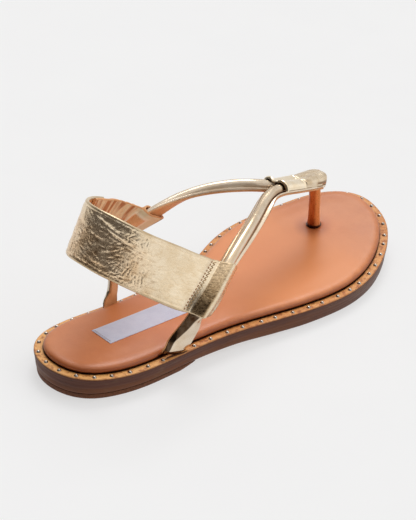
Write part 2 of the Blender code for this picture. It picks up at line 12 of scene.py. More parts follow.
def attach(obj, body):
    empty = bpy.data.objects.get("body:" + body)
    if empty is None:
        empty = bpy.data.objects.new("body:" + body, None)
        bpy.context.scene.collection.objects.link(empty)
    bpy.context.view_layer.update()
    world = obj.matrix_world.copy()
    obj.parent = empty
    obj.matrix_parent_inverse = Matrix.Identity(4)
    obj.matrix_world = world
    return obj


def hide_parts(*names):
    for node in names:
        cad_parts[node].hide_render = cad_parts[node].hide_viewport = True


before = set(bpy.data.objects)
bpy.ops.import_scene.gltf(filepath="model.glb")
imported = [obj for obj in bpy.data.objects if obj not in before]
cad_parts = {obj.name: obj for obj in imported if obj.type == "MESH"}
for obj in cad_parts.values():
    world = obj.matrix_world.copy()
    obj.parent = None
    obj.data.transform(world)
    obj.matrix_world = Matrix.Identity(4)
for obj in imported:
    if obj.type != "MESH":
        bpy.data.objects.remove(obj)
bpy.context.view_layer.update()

# ------------------------------------------------------------------ the shoe's sizes
CENTRE = np.array([6.9, 125.0, 0.0])
WELT_T, GAP, SOLE_INSET, HEEL_LIFT_END = 2.0, 0.3, 0.9, 68.5
STRAP_W, STRAP_T, CORD_W, CORD_H, CORD_OFFSET = 8.0, 2.2, 6.2, 3.2, 2.9
BAND_T, GORE_T = 2.0, 1.5
BAND_START, LEATHER_END, GORE_START, GORE_END = 0.045, 0.868, 0.770, 0.958

OUTLINE = (  # y, medial, lateral
    (2.5, -13.7, 11.5), (8.0, -22.3, 19.3), (18.0, -29.2, 25.7), (35.0, -31.7, 31.0),
    (50.0, -29.9, 32.9), (65.0, -27.2, 34.3), (80.0, -25.2, 36.3), (95.0, -23.8, 39.3),
    (110.0, -23.6, 43.1), (125.0, -25.9, 46.8), (140.0, -30.4, 50.2), (155.0, -35.8, 52.9),
    (170.0, -39.4, 54.0), (185.0, -40.1, 52.5), (200.0, -38.3, 48.3), (215.0, -34.9, 41.5),
    (228.0, -30.6, 33.0), (239.0, -24.6, 22.4), (246.5, -16.4, 9.9),
)
HEEL_TIP, TOE_TIP = (-0.9, 0.0), (-4.8, 250.0)

LEVELS = (  # y, under, welt top
    (0.0, 2.9, 12.8), (35.0, 2.8, 11.3), (65.0, 2.6, 11.1), (95.0, 2.3, 11.2),
    (120.0, 0.9, 10.4), (140.0, 0.0, 9.5), (165.0, 0.0, 9.1), (190.0, 0.0, 9.5),
    (210.0, 1.0, 10.7), (230.0, 3.3, 12.8), (250.0, 6.4, 15.3),
)
FOOTBED_EDGE = (  # inset, height over the welt
    (6.4, 0.05), (5.3, 0.5), (4.8, 1.4), (4.95, 2.35), (5.8, 3.2), (7.4, 3.8), (10.5, 4.1),
)
FOOTBED_TOP = 4.3

LATERAL_STRAP = (  # x, y, z, lean, width, cord
    (28.4, 56.0, 11.5, 100, 16.0, 1.0), (31.8, 59.6, 19.0, 92, 10.8, 2.0),
    (35.1, 62.5, 27.0, 78, 8.3, 3.0), (37.4, 64.9, 32.8, 67, 8.0, 3.2),
    (38.0, 73.3, 40.3, 61, 8.0, 3.2), (35.7, 83.0, 45.5, 61, 8.0, 3.2),
    (32.8, 92.3, 49.3, 62, 8.0, 3.2), (29.7, 101.6, 52.2, 53, 8.0, 3.2),
    (26.3, 111.2, 54.3, 40, 8.0, 3.2), (22.0, 121.7, 55.6, 29, 8.0, 3.2),
    (16.5, 133.5, 56.2, 18, 8.0, 3.2), (10.4, 146.0, 56.6, 8, 8.0, 3.2),
    (6.7, 156.0, 56.8, 2, 8.0, 3.2),
)
MEDIAL_STRAP = (
    (-23.9, 63.9, 11.5, 105, 16.0, 1.0), (-27.6, 68.4, 18.5, 101, 10.8, 2.0),
    (-31.3, 72.6, 26.0, 96, 8.3, 3.0), (-34.0, 76.5, 32.6, 90, 8.0, 3.2),
    (-35.1, 80.5, 38.3, 82, 8.0, 3.2), (-34.5, 85.2, 44.1, 78, 8.0, 3.2),
    (-31.6, 90.9, 49.0, 77, 8.0, 3.2), (-28.2, 97.5, 52.6, 75, 8.0, 3.2),
    (-25.6, 105.3, 55.4, 62, 8.0, 3.2), (-22.9, 114.8, 57.7, 44, 8.0, 3.2),
    (-18.6, 125.9, 59.5, 28, 8.0, 3.2), (-11.8, 139.5, 60.1, 13, 8.0, 3.2),
    (-5.5, 150.5, 59.2, 5, 8.0, 3.2), (-1.6, 158.0, 57.6, 1, 8.0, 3.2),
)
TAB_LINE = ((2.7, 165.0, 55.3), (2.4, 174.5, 52.7), (2.0, 184.0, 50.0), (1.0, 200.5, 45.4))
TAB_FOLD = (  # y, half, below, above
    (183.0, 5.7, 2.2, 3.0), (183.5, 6.2, 2.6, 3.5), (186.0, 6.35, 2.8, 3.8), (190.2, 6.6, 3.0, 4.3),
    (193.0, 6.75, 3.1, 4.6), (196.5, 6.8, 3.1, 4.95), (199.5, 6.55, 3.1, 5.35), (201.8, 6.0, 3.0, 5.6),
    (203.2, 5.2, 2.9, 5.35), (203.9, 4.3, 2.5, 4.7), (204.3, 3.1, 1.7, 3.5),
)
TAB_END = (-0.4, 5.15)  # across, above the tab's line
TOE_POST = (  # x, y, z, across, along
    (1.0, 199.0, 46.4, 3.6, 4.4), (0.9, 199.6, 44.6, 3.6, 3.8), (0.7, 200.3, 42.4, 3.55, 3.2),
    (0.4, 200.8, 40.0, 3.5, 2.9), (-0.3, 202.1, 35.0, 3.4, 3.0), (-1.3, 203.6, 26.0, 3.3, 3.0),
    (-2.1, 204.9, 18.0, 3.5, 3.2), (-2.6, 205.6, 14.2, 3.9, 3.5), (-2.9, 206.1, 10.9, 3.9, 3.5),
)
BAND = (  # share, lower edge, upper edge
    (0.0, 42.3, 67.9, 30.2, 32.4, 87.3, 51.2), (0.067, 30.7, 46.1, 44.3, 26.0, 64.9, 67.6),
    (0.134, 24.2, 35.2, 52.2, 22.8, 52.7, 75.8), (0.202, 19.3, 28.3, 57.4, 20.0, 44.9, 81.3),
    (0.269, 14.6, 23.7, 60.9, 16.5, 39.6, 85.3), (0.336, 9.5, 20.8, 63.2, 11.7, 36.2, 88.1),
    (0.403, 3.9, 19.5, 64.6, 5.9, 34.4, 89.7), (0.471, -2.1, 19.7, 64.9, -0.6, 34.0, 90.1),
    (0.538, -8.3, 21.1, 64.2, -7.2, 35.1, 89.6), (0.605, -14.4, 23.8, 62.7, -13.4, 37.6, 88.3),
    (0.672, -19.8, 28.1, 60.6, -18.8, 41.7, 86.3), (0.739, -24.5, 33.8, 58.1, -23.3, 47.5, 83.7),
    (0.807, -28.4, 40.7, 54.8, -26.8, 54.8, 80.2), (0.874, -32.0, 49.6, 50.1, -29.4, 64.3, 75.3),
    (0.941, -35.6, 62.6, 42.5, -30.7, 78.2, 67.6), (1.0, -39.2, 82.6, 29.8, -29.1, 99.0, 54.7),
)
LATERAL_LOOP, MEDIAL_LOOP = (64.9, 92.3), (76.5, 100.1)
LOOP = (  # wall a, b, hole a, b
    (-6.6, 1.0, -5.0, 0.3), (-4.6, 2.25, -3.8, 1.4), (-2.5, 3.65, -2.0, 2.8), (-0.7, 4.7, 0.0, 3.25),
    (0.5, 4.6, 2.0, 2.8), (2.6, 3.3, 3.7, 1.3), (5.4, 1.0, 4.9, 0.1), (8.2, -0.8, 5.2, -0.8),
    (8.1, -2.1, 5.0, -1.8), (5.6, -3.9, 4.5, -3.1), (2.5, -4.5, 2.2, -3.3), (-1.5, -4.5, -1.5, -3.3),
    (-4.6, -3.7, -4.4, -3.0), (-6.6, -1.0, -5.2, -1.3),
)
SLEEVE = (  # medial y, lateral y, clearance, wall
    (160.8, 163.6, 0.75, 0.55), (161.3, 164.1, 0.75, 1.15), (162.0, 164.8, 0.7, 1.4),
    (162.9, 165.6, 0.5, 1.25), (163.6, 166.2, 0.35, 0.6), (165.0, 167.4, 0.3, 0.55),
    (170.0, 171.5, 0.3, 0.6), (176.0, 176.6, 0.3, 0.6), (180.6, 180.6, 0.3, 0.6),
    (181.2, 181.2, 0.32, 0.75), (181.9, 181.9, 0.32, 0.8), (182.5, 182.5, 0.3, 0.6),
)
STUD_COUNT, STUD_START, STUD_INSET, STUD_R = 56, -39.3, 2.1, 1.02
LABEL = ((-1.8, 35.5), (6.3, 93.0), 15.6)  # end, end, width


# ------------------------------------------------------------------ curves, noise
def smooth(rows, column):
    x = np.array([r[0] for r in rows], float)
    y = np.array([r[column] for r in rows], float)
    h = np.diff(x)
    d = np.diff(y) / h
    m = np.zeros(len(x))
    m[0], m[-1] = d[0], d[-1]
    for i in range(1, len(x) - 1):
        if d[i - 1] * d[i] > 0:
            w1, w2 = 2 * h[i] + h[i - 1], h[i] + 2 * h[i - 1]
            m[i] = (w1 + w2) / (w1 / d[i - 1] + w2 / d[i])

    def value(q):
        q = np.clip(np.asarray(q, float), x[0], x[-1])
        i = np.clip(np.searchsorted(x, q, side="right") - 1, 0, len(x) - 2)
        t = (q - x[i]) / h[i]
        return (
            (2 * t**3 - 3 * t**2 + 1) * y[i] + (t**3 - 2 * t**2 + t) * h[i] * m[i]
            + (3 * t**2 - 2 * t**3) * y[i + 1] + (t**3 - t**2) * h[i] * m[i + 1]
        )

    return value


def spline(points, closed=False):
    p = np.array(points, float)
    if closed:
        p = np.vstack([p, p[:1]])
    t = np.concatenate([[0.0], np.cumsum(np.linalg.norm(np.diff(p, axis=0), axis=1))])
    n, h = len(p), np.diff(t)
    a, b = np.zeros((n, n)), np.zeros((n, p.shape[1]))
    for i in range(1, n - 1):
        a[i, i - 1], a[i, i], a[i, i + 1] = h[i - 1], 2 * (h[i - 1] + h[i]), h[i]
        b[i] = 6 * ((p[i + 1] - p[i]) / h[i] - (p[i] - p[i - 1]) / h[i - 1])
    if closed:
        a[0, 0], a[0, -1] = 1, -1
        a[-1, 0], a[-1, 1] = 2 * (h[0] + h[-1]), h[0]
        a[-1, -2] = h[-1]
        b[-1] = 6 * ((p[1] - p[0]) / h[0] - (p[-1] - p[-2]) / h[-1])
    else:
        a[0, 0] = a[-1, -1] = 1
    m = np.linalg.solve(a, b)

    def value(q):
        q = np.asarray(q, float)
        q = q % t[-1] if closed else np.clip(q, 0.0, t[-1])
        i = np.clip(np.searchsorted(t, q, side="right") - 1, 0, n - 2)
        u, v, k = (t[i + 1] - q)[..., None], (q - t[i])[..., None], h[i][..., None]
        return (
            m[i] * u**3 / (6 * k) + m[i + 1] * v**3 / (6 * k)
            + (p[i] / k - m[i] * k / 6) * u + (p[i + 1] / k - m[i + 1] * k / 6) * v
        )

    value.knots = t
    return value, float(t[-1])


def unit(v):
    v = np.asarray(v, float)
    return v / np.maximum(np.linalg.norm(v, axis=-1, keepdims=True), 1e-12)


def bell(x):
    return np.exp(-np.square(x))


def ease(x, low, high):
    t = np.clip((np.asarray(x, float) - low) / (high - low), 0, 1)
    return t * t * (3 - 2 * t)


def cell(ix, iy, iz, seed):
    h = (ix * 374761393 + iy * 668265263 + iz * 1442695041 + seed * 974634777) & 0xFFFFFFFF
    h = ((h ^ (h >> 13)) * 1274126177) & 0xFFFFFFFF
    h = ((h ^ (h >> 15)) * 668265263) & 0xFFFFFFFF
    return (h ^ (h >> 16)) / 2147483648.0 - 1.0


def noise(p, size, seed=0, octaves=1):
    """Smooth value noise from -1 to 1 over points, size in the points' own units."""
    p = np.asarray(p, float)
    if p.shape[-1] == 2:
        p = np.concatenate([p, np.zeros(p.shape[:-1] + (1,))], -1)
    total, weight, gain = 0.0, 0.0, 1.0
    for o in range(octaves):
        q = p / size * 2**o
        f = np.floor(q).astype(np.int64)
        w = q - f
        w = w * w * (3 - 2 * w)
        out = 0.0
        for dx in (0, 1):
            for dy in (0, 1):
                for dz in (0, 1):
                    c = cell(f[..., 0] + dx, f[..., 1] + dy, f[..., 2] + dz, seed + 31 * o)
                    wx = w[..., 0] if dx else 1 - w[..., 0]
                    wy = w[..., 1] if dy else 1 - w[..., 1]
                    wz = w[..., 2] if dz else 1 - w[..., 2]
                    out = out + c * wx * wy * wz
        total = total + out * gain
        weight += gain
        gain *= 0.5
    return total / weight


UNDER, WELT_TOP = smooth(LEVELS, 1), smooth(LEVELS, 2)


def outline(side):
    """2 * side points round the welt: heel, lateral side, toe, medial side; their
    outward directions, and the line itself."""
    loop = [HEEL_TIP] + [(r[2], r[0]) for r in OUTLINE] + [TOE_TIP]
    loop += [(r[1], r[0]) for r in reversed(OUTLINE)]
    at, total = spline(loop, closed=True)
    fine = at(total * np.arange(4000) / 4000)
    toe, heel = int(np.argmax(fine[:, 1])), int(np.argmin(fine[:, 1]))
    heel = heel - 4000 if heel > toe else heel
    k = np.arange(side) / side
    ends = np.concatenate([heel + (toe - heel) * k, toe + (heel + 4000 - toe) * k]) / 4000 * total
    p = at(ends)
    d = at(ends + 0.4) - at(ends - 0.4)
    return p, unit(np.stack([d[:, 1], -d[:, 0]], 1)), at, total


FINE = outline(1200)[0]


def inset_of(xy):
    """Distance of points from the welt's outline, inward positive."""
    xy = np.asarray(xy, float).reshape(-1, 2)
    a, b = FINE, np.roll(FINE, -1, axis=0)
    out = np.empty(len(xy))
    for k in range(0, len(xy), 400):
        q = xy[k:k + 400, None, :]
        near = np.argmin(((q - a[None]) ** 2).sum(-1), axis=1)
        best = np.full(len(near), 1e9)
        for step in (-1, 0):
            i = (near + step) % len(a)
            ab = b[i] - a[i]
            w = np.clip(((q[:, 0] - a[i]) * ab).sum(-1) / (ab**2).sum(-1), 0, 1)
            best = np.minimum(best, np.linalg.norm(q[:, 0] - a[i] - ab * w[:, None], axis=-1))
        out[k:k + 400] = best
    return out


# ------------------------------------------------------------------ mesh building
def grid(rows, cols, start=0, wrap_cols=False, wrap_rows=False):
    r = np.arange(rows if wrap_rows else rows - 1)
    c = np.arange(cols if wrap_cols else cols - 1)
    r, c = np.meshgrid(r, c, indexing="ij")
    r2, c2 = (r + 1) % rows, (c + 1) % cols
    return (np.stack([r * cols + c, r * cols + c2, r2 * cols + c2, r2 * cols + c], -1).reshape(-1, 4) + start).tolist()


def place(p):
    return (np.asarray(p, float) - CENTRE) * 0.001


def piece(name, verts, faces, mats, slot, replaces=(), index=None, uv=None, sharp=42.0, flip=True):
    """A mesh object from points in millimetres; index gives each face's material and
    uv each point's place on the surface in millimetres."""
    mesh = bpy.data.meshes.new(name)
    mesh.from_pydata(place(verts).tolist(), [], faces)
    if uv is not None:
        layer = mesh.uv_layers.new(name="UVMap")
        at = np.empty(len(mesh.loops), np.int32)
        mesh.loops.foreach_get("vertex_index", at)
        layer.data.foreach_set("uv", (np.asarray(uv, np.float32)[at] * 0.001).ravel())
    for m in mats if isinstance(mats, (list, tuple)) else [mats]:
        mesh.materials.append(m)
    if index is not None:
        mesh.polygons.foreach_set("material_index", np.asarray(index, np.int32))
    if flip:
        bm = bmesh.new()
        bm.from_mesh(mesh)
        bmesh.ops.recalc_face_normals(bm, faces=bm.faces)
        bm.to_mesh(mesh)
        bm.free()
    mesh.shade_smooth()
    mesh.set_sharp_from_angle(angle=math.radians(sharp))
    mesh.update()
    obj = bpy.data.objects.new(name, mesh)
    bpy.context.scene.collection.objects.link(obj)
    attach(obj, "root")
    if replaces:
        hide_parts(*([replaces] if isinstance(replaces, str) else replaces))
    return obj


def tube(rings, start=0, cap=True):
    rings = np.asarray(rings)
    m, n = rings.shape[:2]
    faces = grid(m, n, start, wrap_cols=True)
    if cap:
        faces.append([start + k for k in reversed(range(n))])
        faces.append([start + (m - 1) * n + k for k in range(n)])
    return rings.reshape(-1, 3), faces


class Parts:
    """Several closed shapes gathered in one mesh."""

    def __init__(self):
        self.verts, self.faces, self.uv, self.index, self.count = [], [], [], [], 0

    def add(self, verts, faces, uv=None, index=0):
        verts = np.asarray(verts, float).reshape(-1, 3)
        self.verts.append(verts)
        self.faces += [[i + self.count for i in f] for f in faces]
        self.uv.append(np.zeros((len(verts), 2)) if uv is None else np.asarray(uv, float).reshape(-1, 2))
        self.index += [index] * len(faces)
        self.count += len(verts)

    def build(self, name, mats, slot, replaces=(), **rest):
        return piece(name, np.vstack(self.verts), self.faces, mats, slot, replaces,
                     index=self.index, uv=np.vstack(self.uv), **rest)


def thread_run(points, ups, radius, arch=0.35, sides=7, rings=6):
    """One stitch a pair: points (n, 2, 3) from end to end, lying on the surface whose
    outward directions are ups. Returns points and faces."""
    points, ups = np.asarray(points, float), unit(ups)
    verts, faces = [], []
    for (p, q), up in zip(points, ups):
        along = q - p
        side = unit(np.cross(up, along))
        at = len(verts) * 1
        ring_list = []
        for k in range(rings + 1):
            s = k / rings
            c = p + along * s + up * (radius * 0.6 * arch * 4 * s * (1 - s) + radius * (0.15 if 0 < k < rings else -0.7))
            r = radius * (1.0 if 0 < k < rings else 0.45)
            ang = 2 * np.pi * np.arange(sides) / sides
            ring_list.append(c + r * (np.cos(ang)[:, None] * side + np.sin(ang)[:, None] * up * 0.85))
        v, f = tube(ring_list, start=at)
        verts.extend(v)
        faces.extend(f)
    return np.array(verts), faces


# ------------------------------------------------------------------ materials
class Look:
    """A material whose colour, roughness and relief come from nodes."""

    def __init__(self, name):
        self.mat = bpy.data.materials.new(name)
        self.mat.use_nodes = True
        self.tree = self.mat.node_tree
        self.shader = self.tree.nodes["Principled BSDF"]
        self.coords = self.tree.nodes.new("ShaderNodeTexCoord")

    def node(self, kind, inputs=None, out=0, **settings):
        n = self.tree.nodes.new(kind)
        for key, value in settings.items():
            setattr(n, key, value)
        for key, value in (inputs or {}).items():
            self.put(n.inputs[key], value)
        return n.outputs[out]

    def put(self, socket, value):
        if isinstance(value, bpy.types.NodeSocket):
            self.tree.links.new(value, socket)
        else:
            if hasattr(socket.default_value, "__len__") and len(socket.default_value) == 4 and len(value) == 3:
                value = (*value, 1.0)
            socket.default_value = value

    def place(self, scale=(1, 1, 1), kind="Object", turn=(0, 0, 0)):
        return self.node("ShaderNodeMapping", {"Vector": self.coords.outputs[kind], "Scale": scale, "Rotation": turn})

    def noise(self, size, where=None, detail=3.0, rough=0.55, distortion=0.0):
        """Noise with features of about size millimetres."""
        return self.node("ShaderNodeTexNoise", {
            "Vector": where or self.coords.outputs["Object"], "Scale": 1000.0 / size,
            "Detail": detail, "Roughness": rough, "Distortion": distortion})

    def cells(self, size, where=None, feature="F1", out=0, random=1.0):
        return self.node("ShaderNodeTexVoronoi", {
            "Vector": where or self.coords.outputs["Object"], "Scale": 1000.0 / size, "Randomness": random},
            out=out, feature=feature)

    def range(self, value, low, high, to_low=0.0, to_high=1.0):
        return self.node("ShaderNodeMapRange", {
            "Value": value, "From Min": low, "From Max": high, "To Min": to_low, "To Max": to_high},
            interpolation_type="SMOOTHSTEP")

    def math(self, op, a, b=0.0):
        n = self.tree.nodes.new("ShaderNodeMath")
        n.operation = op
        self.put(n.inputs[0], a)
        self.put(n.inputs[1], b)
        return n.outputs[0]

    def mix(self, factor, a, b, blend="MIX"):
        n = self.tree.nodes.new("ShaderNodeMix")
        n.data_type = "RGBA"
        n.blend_type = blend
        self.put(n.inputs[0], factor)
        self.put(n.inputs[6], a)
        self.put(n.inputs[7], b)
        return n.outputs[2]

    def away(self, x, y, z, kind="Object"):
        """Distance from a point, in metres."""
        return self.node("ShaderNodeVectorMath", {0: self.coords.outputs[kind], 1: (x, y, z)},
                         out="Value", operation="DISTANCE")

    def axis(self, vector, which):
        return self.node("ShaderNodeSeparateXYZ", {"Vector": vector}, out="XYZ".index(which))

    def bump(self, height, strength, distance_mm, under=None):
        inputs = {"Height": height, "Strength": strength, "Distance": distance_mm * 0.001}
        if under is not None:
            inputs["Normal"] = under
        return self.node("ShaderNodeBump", inputs)

    def finish(self, colour, roughness, normal=None, **fixed):
        self.put(self.shader.inputs["Base Color"], colour)
        self.put(self.shader.inputs["Roughness"], roughness)
        if normal is not None:
            self.put(self.shader.inputs["Normal"], normal)
        for key, value in fixed.items():
            self.put(self.shader.inputs[key.replace("_", " ")], value)
        return self.mat


def rgb(r, g, b):
    """Linear colour from an sRGB one, 0 to 255."""
    return tuple(((c / 255 + 0.055) / 1.055) ** 2.4 if c > 10 else c / 255 / 12.92 for c in (r, g, b))


def gold_leather(name, tone, deep, roughness, grain=1.0, metallic=1.0):
    """Smooth foiled leather: faint pebbling and clouds of tone."""
    k = Look(name)
    cloud = k.noise(9.0, detail=4.0)
    fine = k.noise(1.6, detail=3.0)
    colour = k.mix(k.range(cloud, 0.40, 0.68), tone, deep)
    colour = k.mix(k.range(fine, 0.35, 0.75, 0.0, 0.30), colour, tuple(min(c * 1.1, 0.97) for c in tone))
    rough = k.range(fine, 0.3, 0.7, roughness - 0.04, roughness + 0.05)
    relief = k.bump(k.cells(0.75, feature="SMOOTH_F1"), 0.12 * grain, 0.08)
    relief = k.bump(k.noise(2.6, detail=3.0), 0.30 * grain, 0.16, relief)
    return k.finish(colour, rough, relief, Metallic=metallic)


def piping_foil(name, tone, deep, roughness):
    """Foil of the straps, by u (from the strap's base) and v (from its ridge, heel side
    above zero), with painted light: a painted dark reflection on the cord's side, painted
    shade in the groove beside the cord and on the lower heel face, a painted shadow under
    the leaf's lower end, and painted shade dimming the highlight on the outer strap's top.
    The painted shade is stronger on the outer strap."""
    k = Look(name)
    uv = k.coords.outputs["UV"]
    s, v = k.axis(uv, "X"), k.axis(uv, "Y")
    side = k.range(k.axis(k.coords.outputs["Object"], "X"), -0.008, 0.002, 0.0, 0.70)
    cloud, fine = k.noise(9.0, detail=4.0), k.noise(1.6, detail=3.0)
    colour = k.mix(k.range(cloud, 0.40, 0.68), tone, deep)
    colour = k.mix(k.range(fine, 0.35, 0.75, 0.0, 0.30), colour, tuple(min(c * 1.1, 0.97) for c in tone))
    away = k.math("ADD", k.math("ABSOLUTE", v), k.math("MULTIPLY", k.math("SUBTRACT", fine, 0.5), 0.0003))
    piped = k.math("MULTIPLY", k.range(s, 0.024, 0.027), k.range(v, 0.0005, -0.0005, 0.06, 1.0))
    # painted reflection: the cord's side browned where it would mirror the footbed and the dark room
    flank_reflection_mask = k.math("MULTIPLY", k.range(away, 0.0018, 0.0042), k.range(away, 0.0060, 0.0052))
    colour = k.mix(k.math("MULTIPLY", k.math("MULTIPLY", flank_reflection_mask, piped), side), colour, rgb(158, 116, 72))
    # painted shade: a dark line in the groove between the cord and the flange
    line = k.math("MULTIPLY", k.range(away, 0.0040, 0.0046), k.range(away, 0.0060, 0.0053))
    colour = k.mix(k.math("MULTIPLY", k.math("MULTIPLY", line, piped), k.math("MULTIPLY", side, 1.2)), colour, rgb(106, 68, 36))
    # painted shade on the lower heel face, which faces away from the light
    heel = k.math("MULTIPLY", k.range(s, 0.027, 0.024), k.range(v, 0.0000, 0.0006))
    heel = k.math("MULTIPLY", heel, k.math("ADD", k.math("MULTIPLY", side, 0.93), 0.35))
    colour = k.mix(k.math("MULTIPLY", heel, k.range(fine, 0.3, 0.7, 0.93, 0.99)), colour, rgb(66, 44, 25))
    # painted shadow under the leaf's lower end, rising towards the toe
    cut = k.math("MULTIPLY", k.range(v, 0.0, -0.009), 0.0016)
    colour = k.mix(k.range(k.math("SUBTRACT", s, cut), 0.0006, 0.0003), colour, rgb(96, 56, 28))
    rough = k.range(fine, 0.3, 0.7, roughness - 0.04, roughness + 0.05)
    relief = k.bump(k.cells(0.75, feature="SMOOTH_F1"), 0.03, 0.08)
    relief = k.bump(k.noise(2.6, detail=3.0), 0.07, 0.16, relief)
    # the inner strap's lower side is less metallic, so duller, and the outer one's top gets painted shade that dims its
    # reflected highlight
    dull = k.math("MULTIPLY", k.range(side, 0.5, 0.1), k.math("MULTIPLY", k.range(s, 0.024, 0.027), k.range(v, -0.0008, -0.0022)))
    crest_highlight_shade = k.math("MULTIPLY", k.math("MULTIPLY", side, 0.8), k.math("MULTIPLY", k.range(s, 0.024, 0.027), k.range(v, -0.0012, 0.0004)))
    colour = k.mix(crest_highlight_shade, colour, rgb(196, 170, 138))
    return k.finish(colour, rough, relief, Metallic=k.range(dull, 0.0, 1.0, 1.0, 0.30))


def crinkled_foil(name, roughness):
    """Foiled leather of the heel band, by its place: u along the band from the lateral
    loop's stitches (below zero on the loop), v up it. The foil is crinkled, with painted
    shade in its folds. Over the outer heel quarter its tone is browner and its folds darker,
    a painted reflection of the dark room, with a painted highlight on their ridges; down the
    back of the loop it is darker, with painted shade in its folds."""
    k = Look(name)
    uv = k.coords.outputs["UV"]
    along, across = k.axis(uv, "X"), k.axis(uv, "Y")
    waver = k.math("MULTIPLY", k.math("SUBTRACT", k.noise(7.0, detail=4.0, rough=0.65), 0.5), 0.026)
    shifted = k.math("ADD", k.math("SUBTRACT", along, k.math("MULTIPLY", k.math("SUBTRACT", across, 0.015), 0.5)), waver)
    # mask of the outer heel quarter: a browner tone and painted dark reflection
    brown_tone_and_reflection = k.math("MULTIPLY", k.range(shifted, 0.026, 0.048), k.range(shifted, 0.103, 0.086))
    high = k.range(across, 0.0175, 0.0265, 1.0, 0.16)
    brown_tone_and_reflection = k.math("MULTIPLY", brown_tone_and_reflection, high)
    loop = k.math("MULTIPLY", k.range(along, -0.0002, -0.0010), k.range(along, -0.0088, -0.0072))
    long_way = k.place((0.36, 1.0, 1.0), "UV")
    folds = k.noise(1.45, long_way, detail=4.0, rough=0.62, distortion=1.0)
    fine = k.noise(0.8, k.place((0.7, 1.0, 1.0), "UV", (0, 0, 0.6)), detail=3.0, rough=0.6, distortion=0.8)
    cloud = k.noise(9.0, detail=4.0)
    tone = k.mix(k.range(cloud, 0.36, 0.68), rgb(244, 226, 197), rgb(234, 212, 178))
    # painted shade in the folds
    tone = k.mix(k.math("MULTIPLY", k.range(folds, 0.52, 0.36), 0.35), tone, rgb(214, 184, 142))
    # outer heel quarter: a browner tone, its folds darkened by painted reflection of the dark room and their ridges lit
    # by a painted highlight
    brown = k.mix(k.range(cloud, 0.38, 0.66), rgb(247, 222, 188), rgb(232, 200, 160))
    brown = k.mix(k.range(folds, 0.50, 0.34, 0.0, 0.75), brown, rgb(150, 112, 74))
    brown = k.mix(k.range(folds, 0.56, 0.70, 0.0, 0.4), brown, rgb(238, 210, 170))
    colour = k.mix(brown_tone_and_reflection, tone, brown)
    # down the back of the loop: a darker tone, with painted shade in its folds
    loop_back_tone_and_fold_shade = k.mix(k.range(fine, 0.40, 0.62), rgb(150, 122, 88), rgb(196, 168, 130))
    loop_back_tone_and_fold_shade = k.mix(k.range(folds, 0.50, 0.36, 0.0, 0.8), loop_back_tone_and_fold_shade, rgb(96, 72, 46))
    colour = k.mix(k.math("MULTIPLY", loop, k.range(across, 0.030, 0.008, 0.72, 1.0)), colour, loop_back_tone_and_fold_shade)
    busy = k.math("ADD", k.math("MULTIPLY", k.math("MAXIMUM", brown_tone_and_reflection, loop), 0.78), 0.22)
    relief = k.bump(k.math("MULTIPLY", folds, busy), 0.55, 0.34)
    relief = k.bump(k.math("MULTIPLY", fine, busy), 0.55, 0.16, relief)
    relief = k.bump(k.cells(0.6, feature="SMOOTH_F1"), 0.15, 0.07, relief)
    rough = k.range(fine, 0.3, 0.7, roughness - 0.04, roughness + 0.08)
    return k.finish(colour, rough, relief, Metallic=1.0)


def gore_back(name, round_loop):
    """Inside of the medial end, by u: the loop's stitched back, then the gathered elastic."""
    k = Look(name)
    uv = k.coords.outputs["UV"]
    b = k.math("SUBTRACT", k.math("MULTIPLY", k.axis(uv, "X"), -1.0), round_loop * 0.001)
    v = k.axis(uv, "Y")
    slanted = k.place((260.0, 34.0, 1.0), "UV", (0, 0, 0.10))
    gathers = k.node("ShaderNodeTexNoise", {"Vector": slanted, "Scale": 1.0, "Detail": 2.0, "Roughness": 0.5})
    fine = k.noise(0.8, detail=3.0)
    ribs = k.node("ShaderNodeTexWave", {"Vector": uv, "Scale": 420.0, "Distortion": 0.3, "Detail": 1.0}, bands_direction="Y")
    pale, tan, deep = rgb(244, 216, 172), rgb(238, 172, 116), rgb(186, 116, 66)
    # painted shade in the gathers' hollows, lighter on their tops
    elastic = k.mix(k.range(gathers, 0.40, 0.58), deep, pale)
    elastic = k.mix(k.range(fine, 0.45, 0.7, 0.0, 0.35), elastic, tan)
    patch = k.mix(k.range(fine, 0.35, 0.7), tan, rgb(246, 192, 138))
    inside = k.math("MULTIPLY", k.range(b, -0.0078, -0.0066), k.range(b, 0.0022, 0.0012))
    inside = k.math("MULTIPLY", inside, k.math("MULTIPLY", k.range(v, 0.0025, 0.0038), k.range(v, 0.0275, 0.0262)))
    core = k.math("MULTIPLY", k.range(b, -0.0066, -0.0056), k.range(b, 0.0012, 0.0002))
    core = k.math("MULTIPLY", core, k.math("MULTIPLY", k.range(v, 0.0038, 0.0048), k.range(v, 0.0262, 0.0250)))
    colour = k.mix(k.range(b, 0.0012, 0.0030), rgb(236, 216, 178), elastic)
    colour = k.mix(inside, colour, rgb(253, 234, 204))
    colour = k.mix(core, colour, patch)
    colour = k.mix(k.range(b, -0.0128, -0.0150), colour, rgb(196, 118, 62))
    relief = k.bump(k.math("ADD", inside, core), 0.5, 0.25)
    relief = k.bump(gathers, 0.5, 0.9, relief)
    relief = k.bump(ribs, 0.25, 0.12, relief)
    return k.finish(colour, k.range(fine, 0.3, 0.7, 0.40, 0.54), relief, Metallic=0.15)


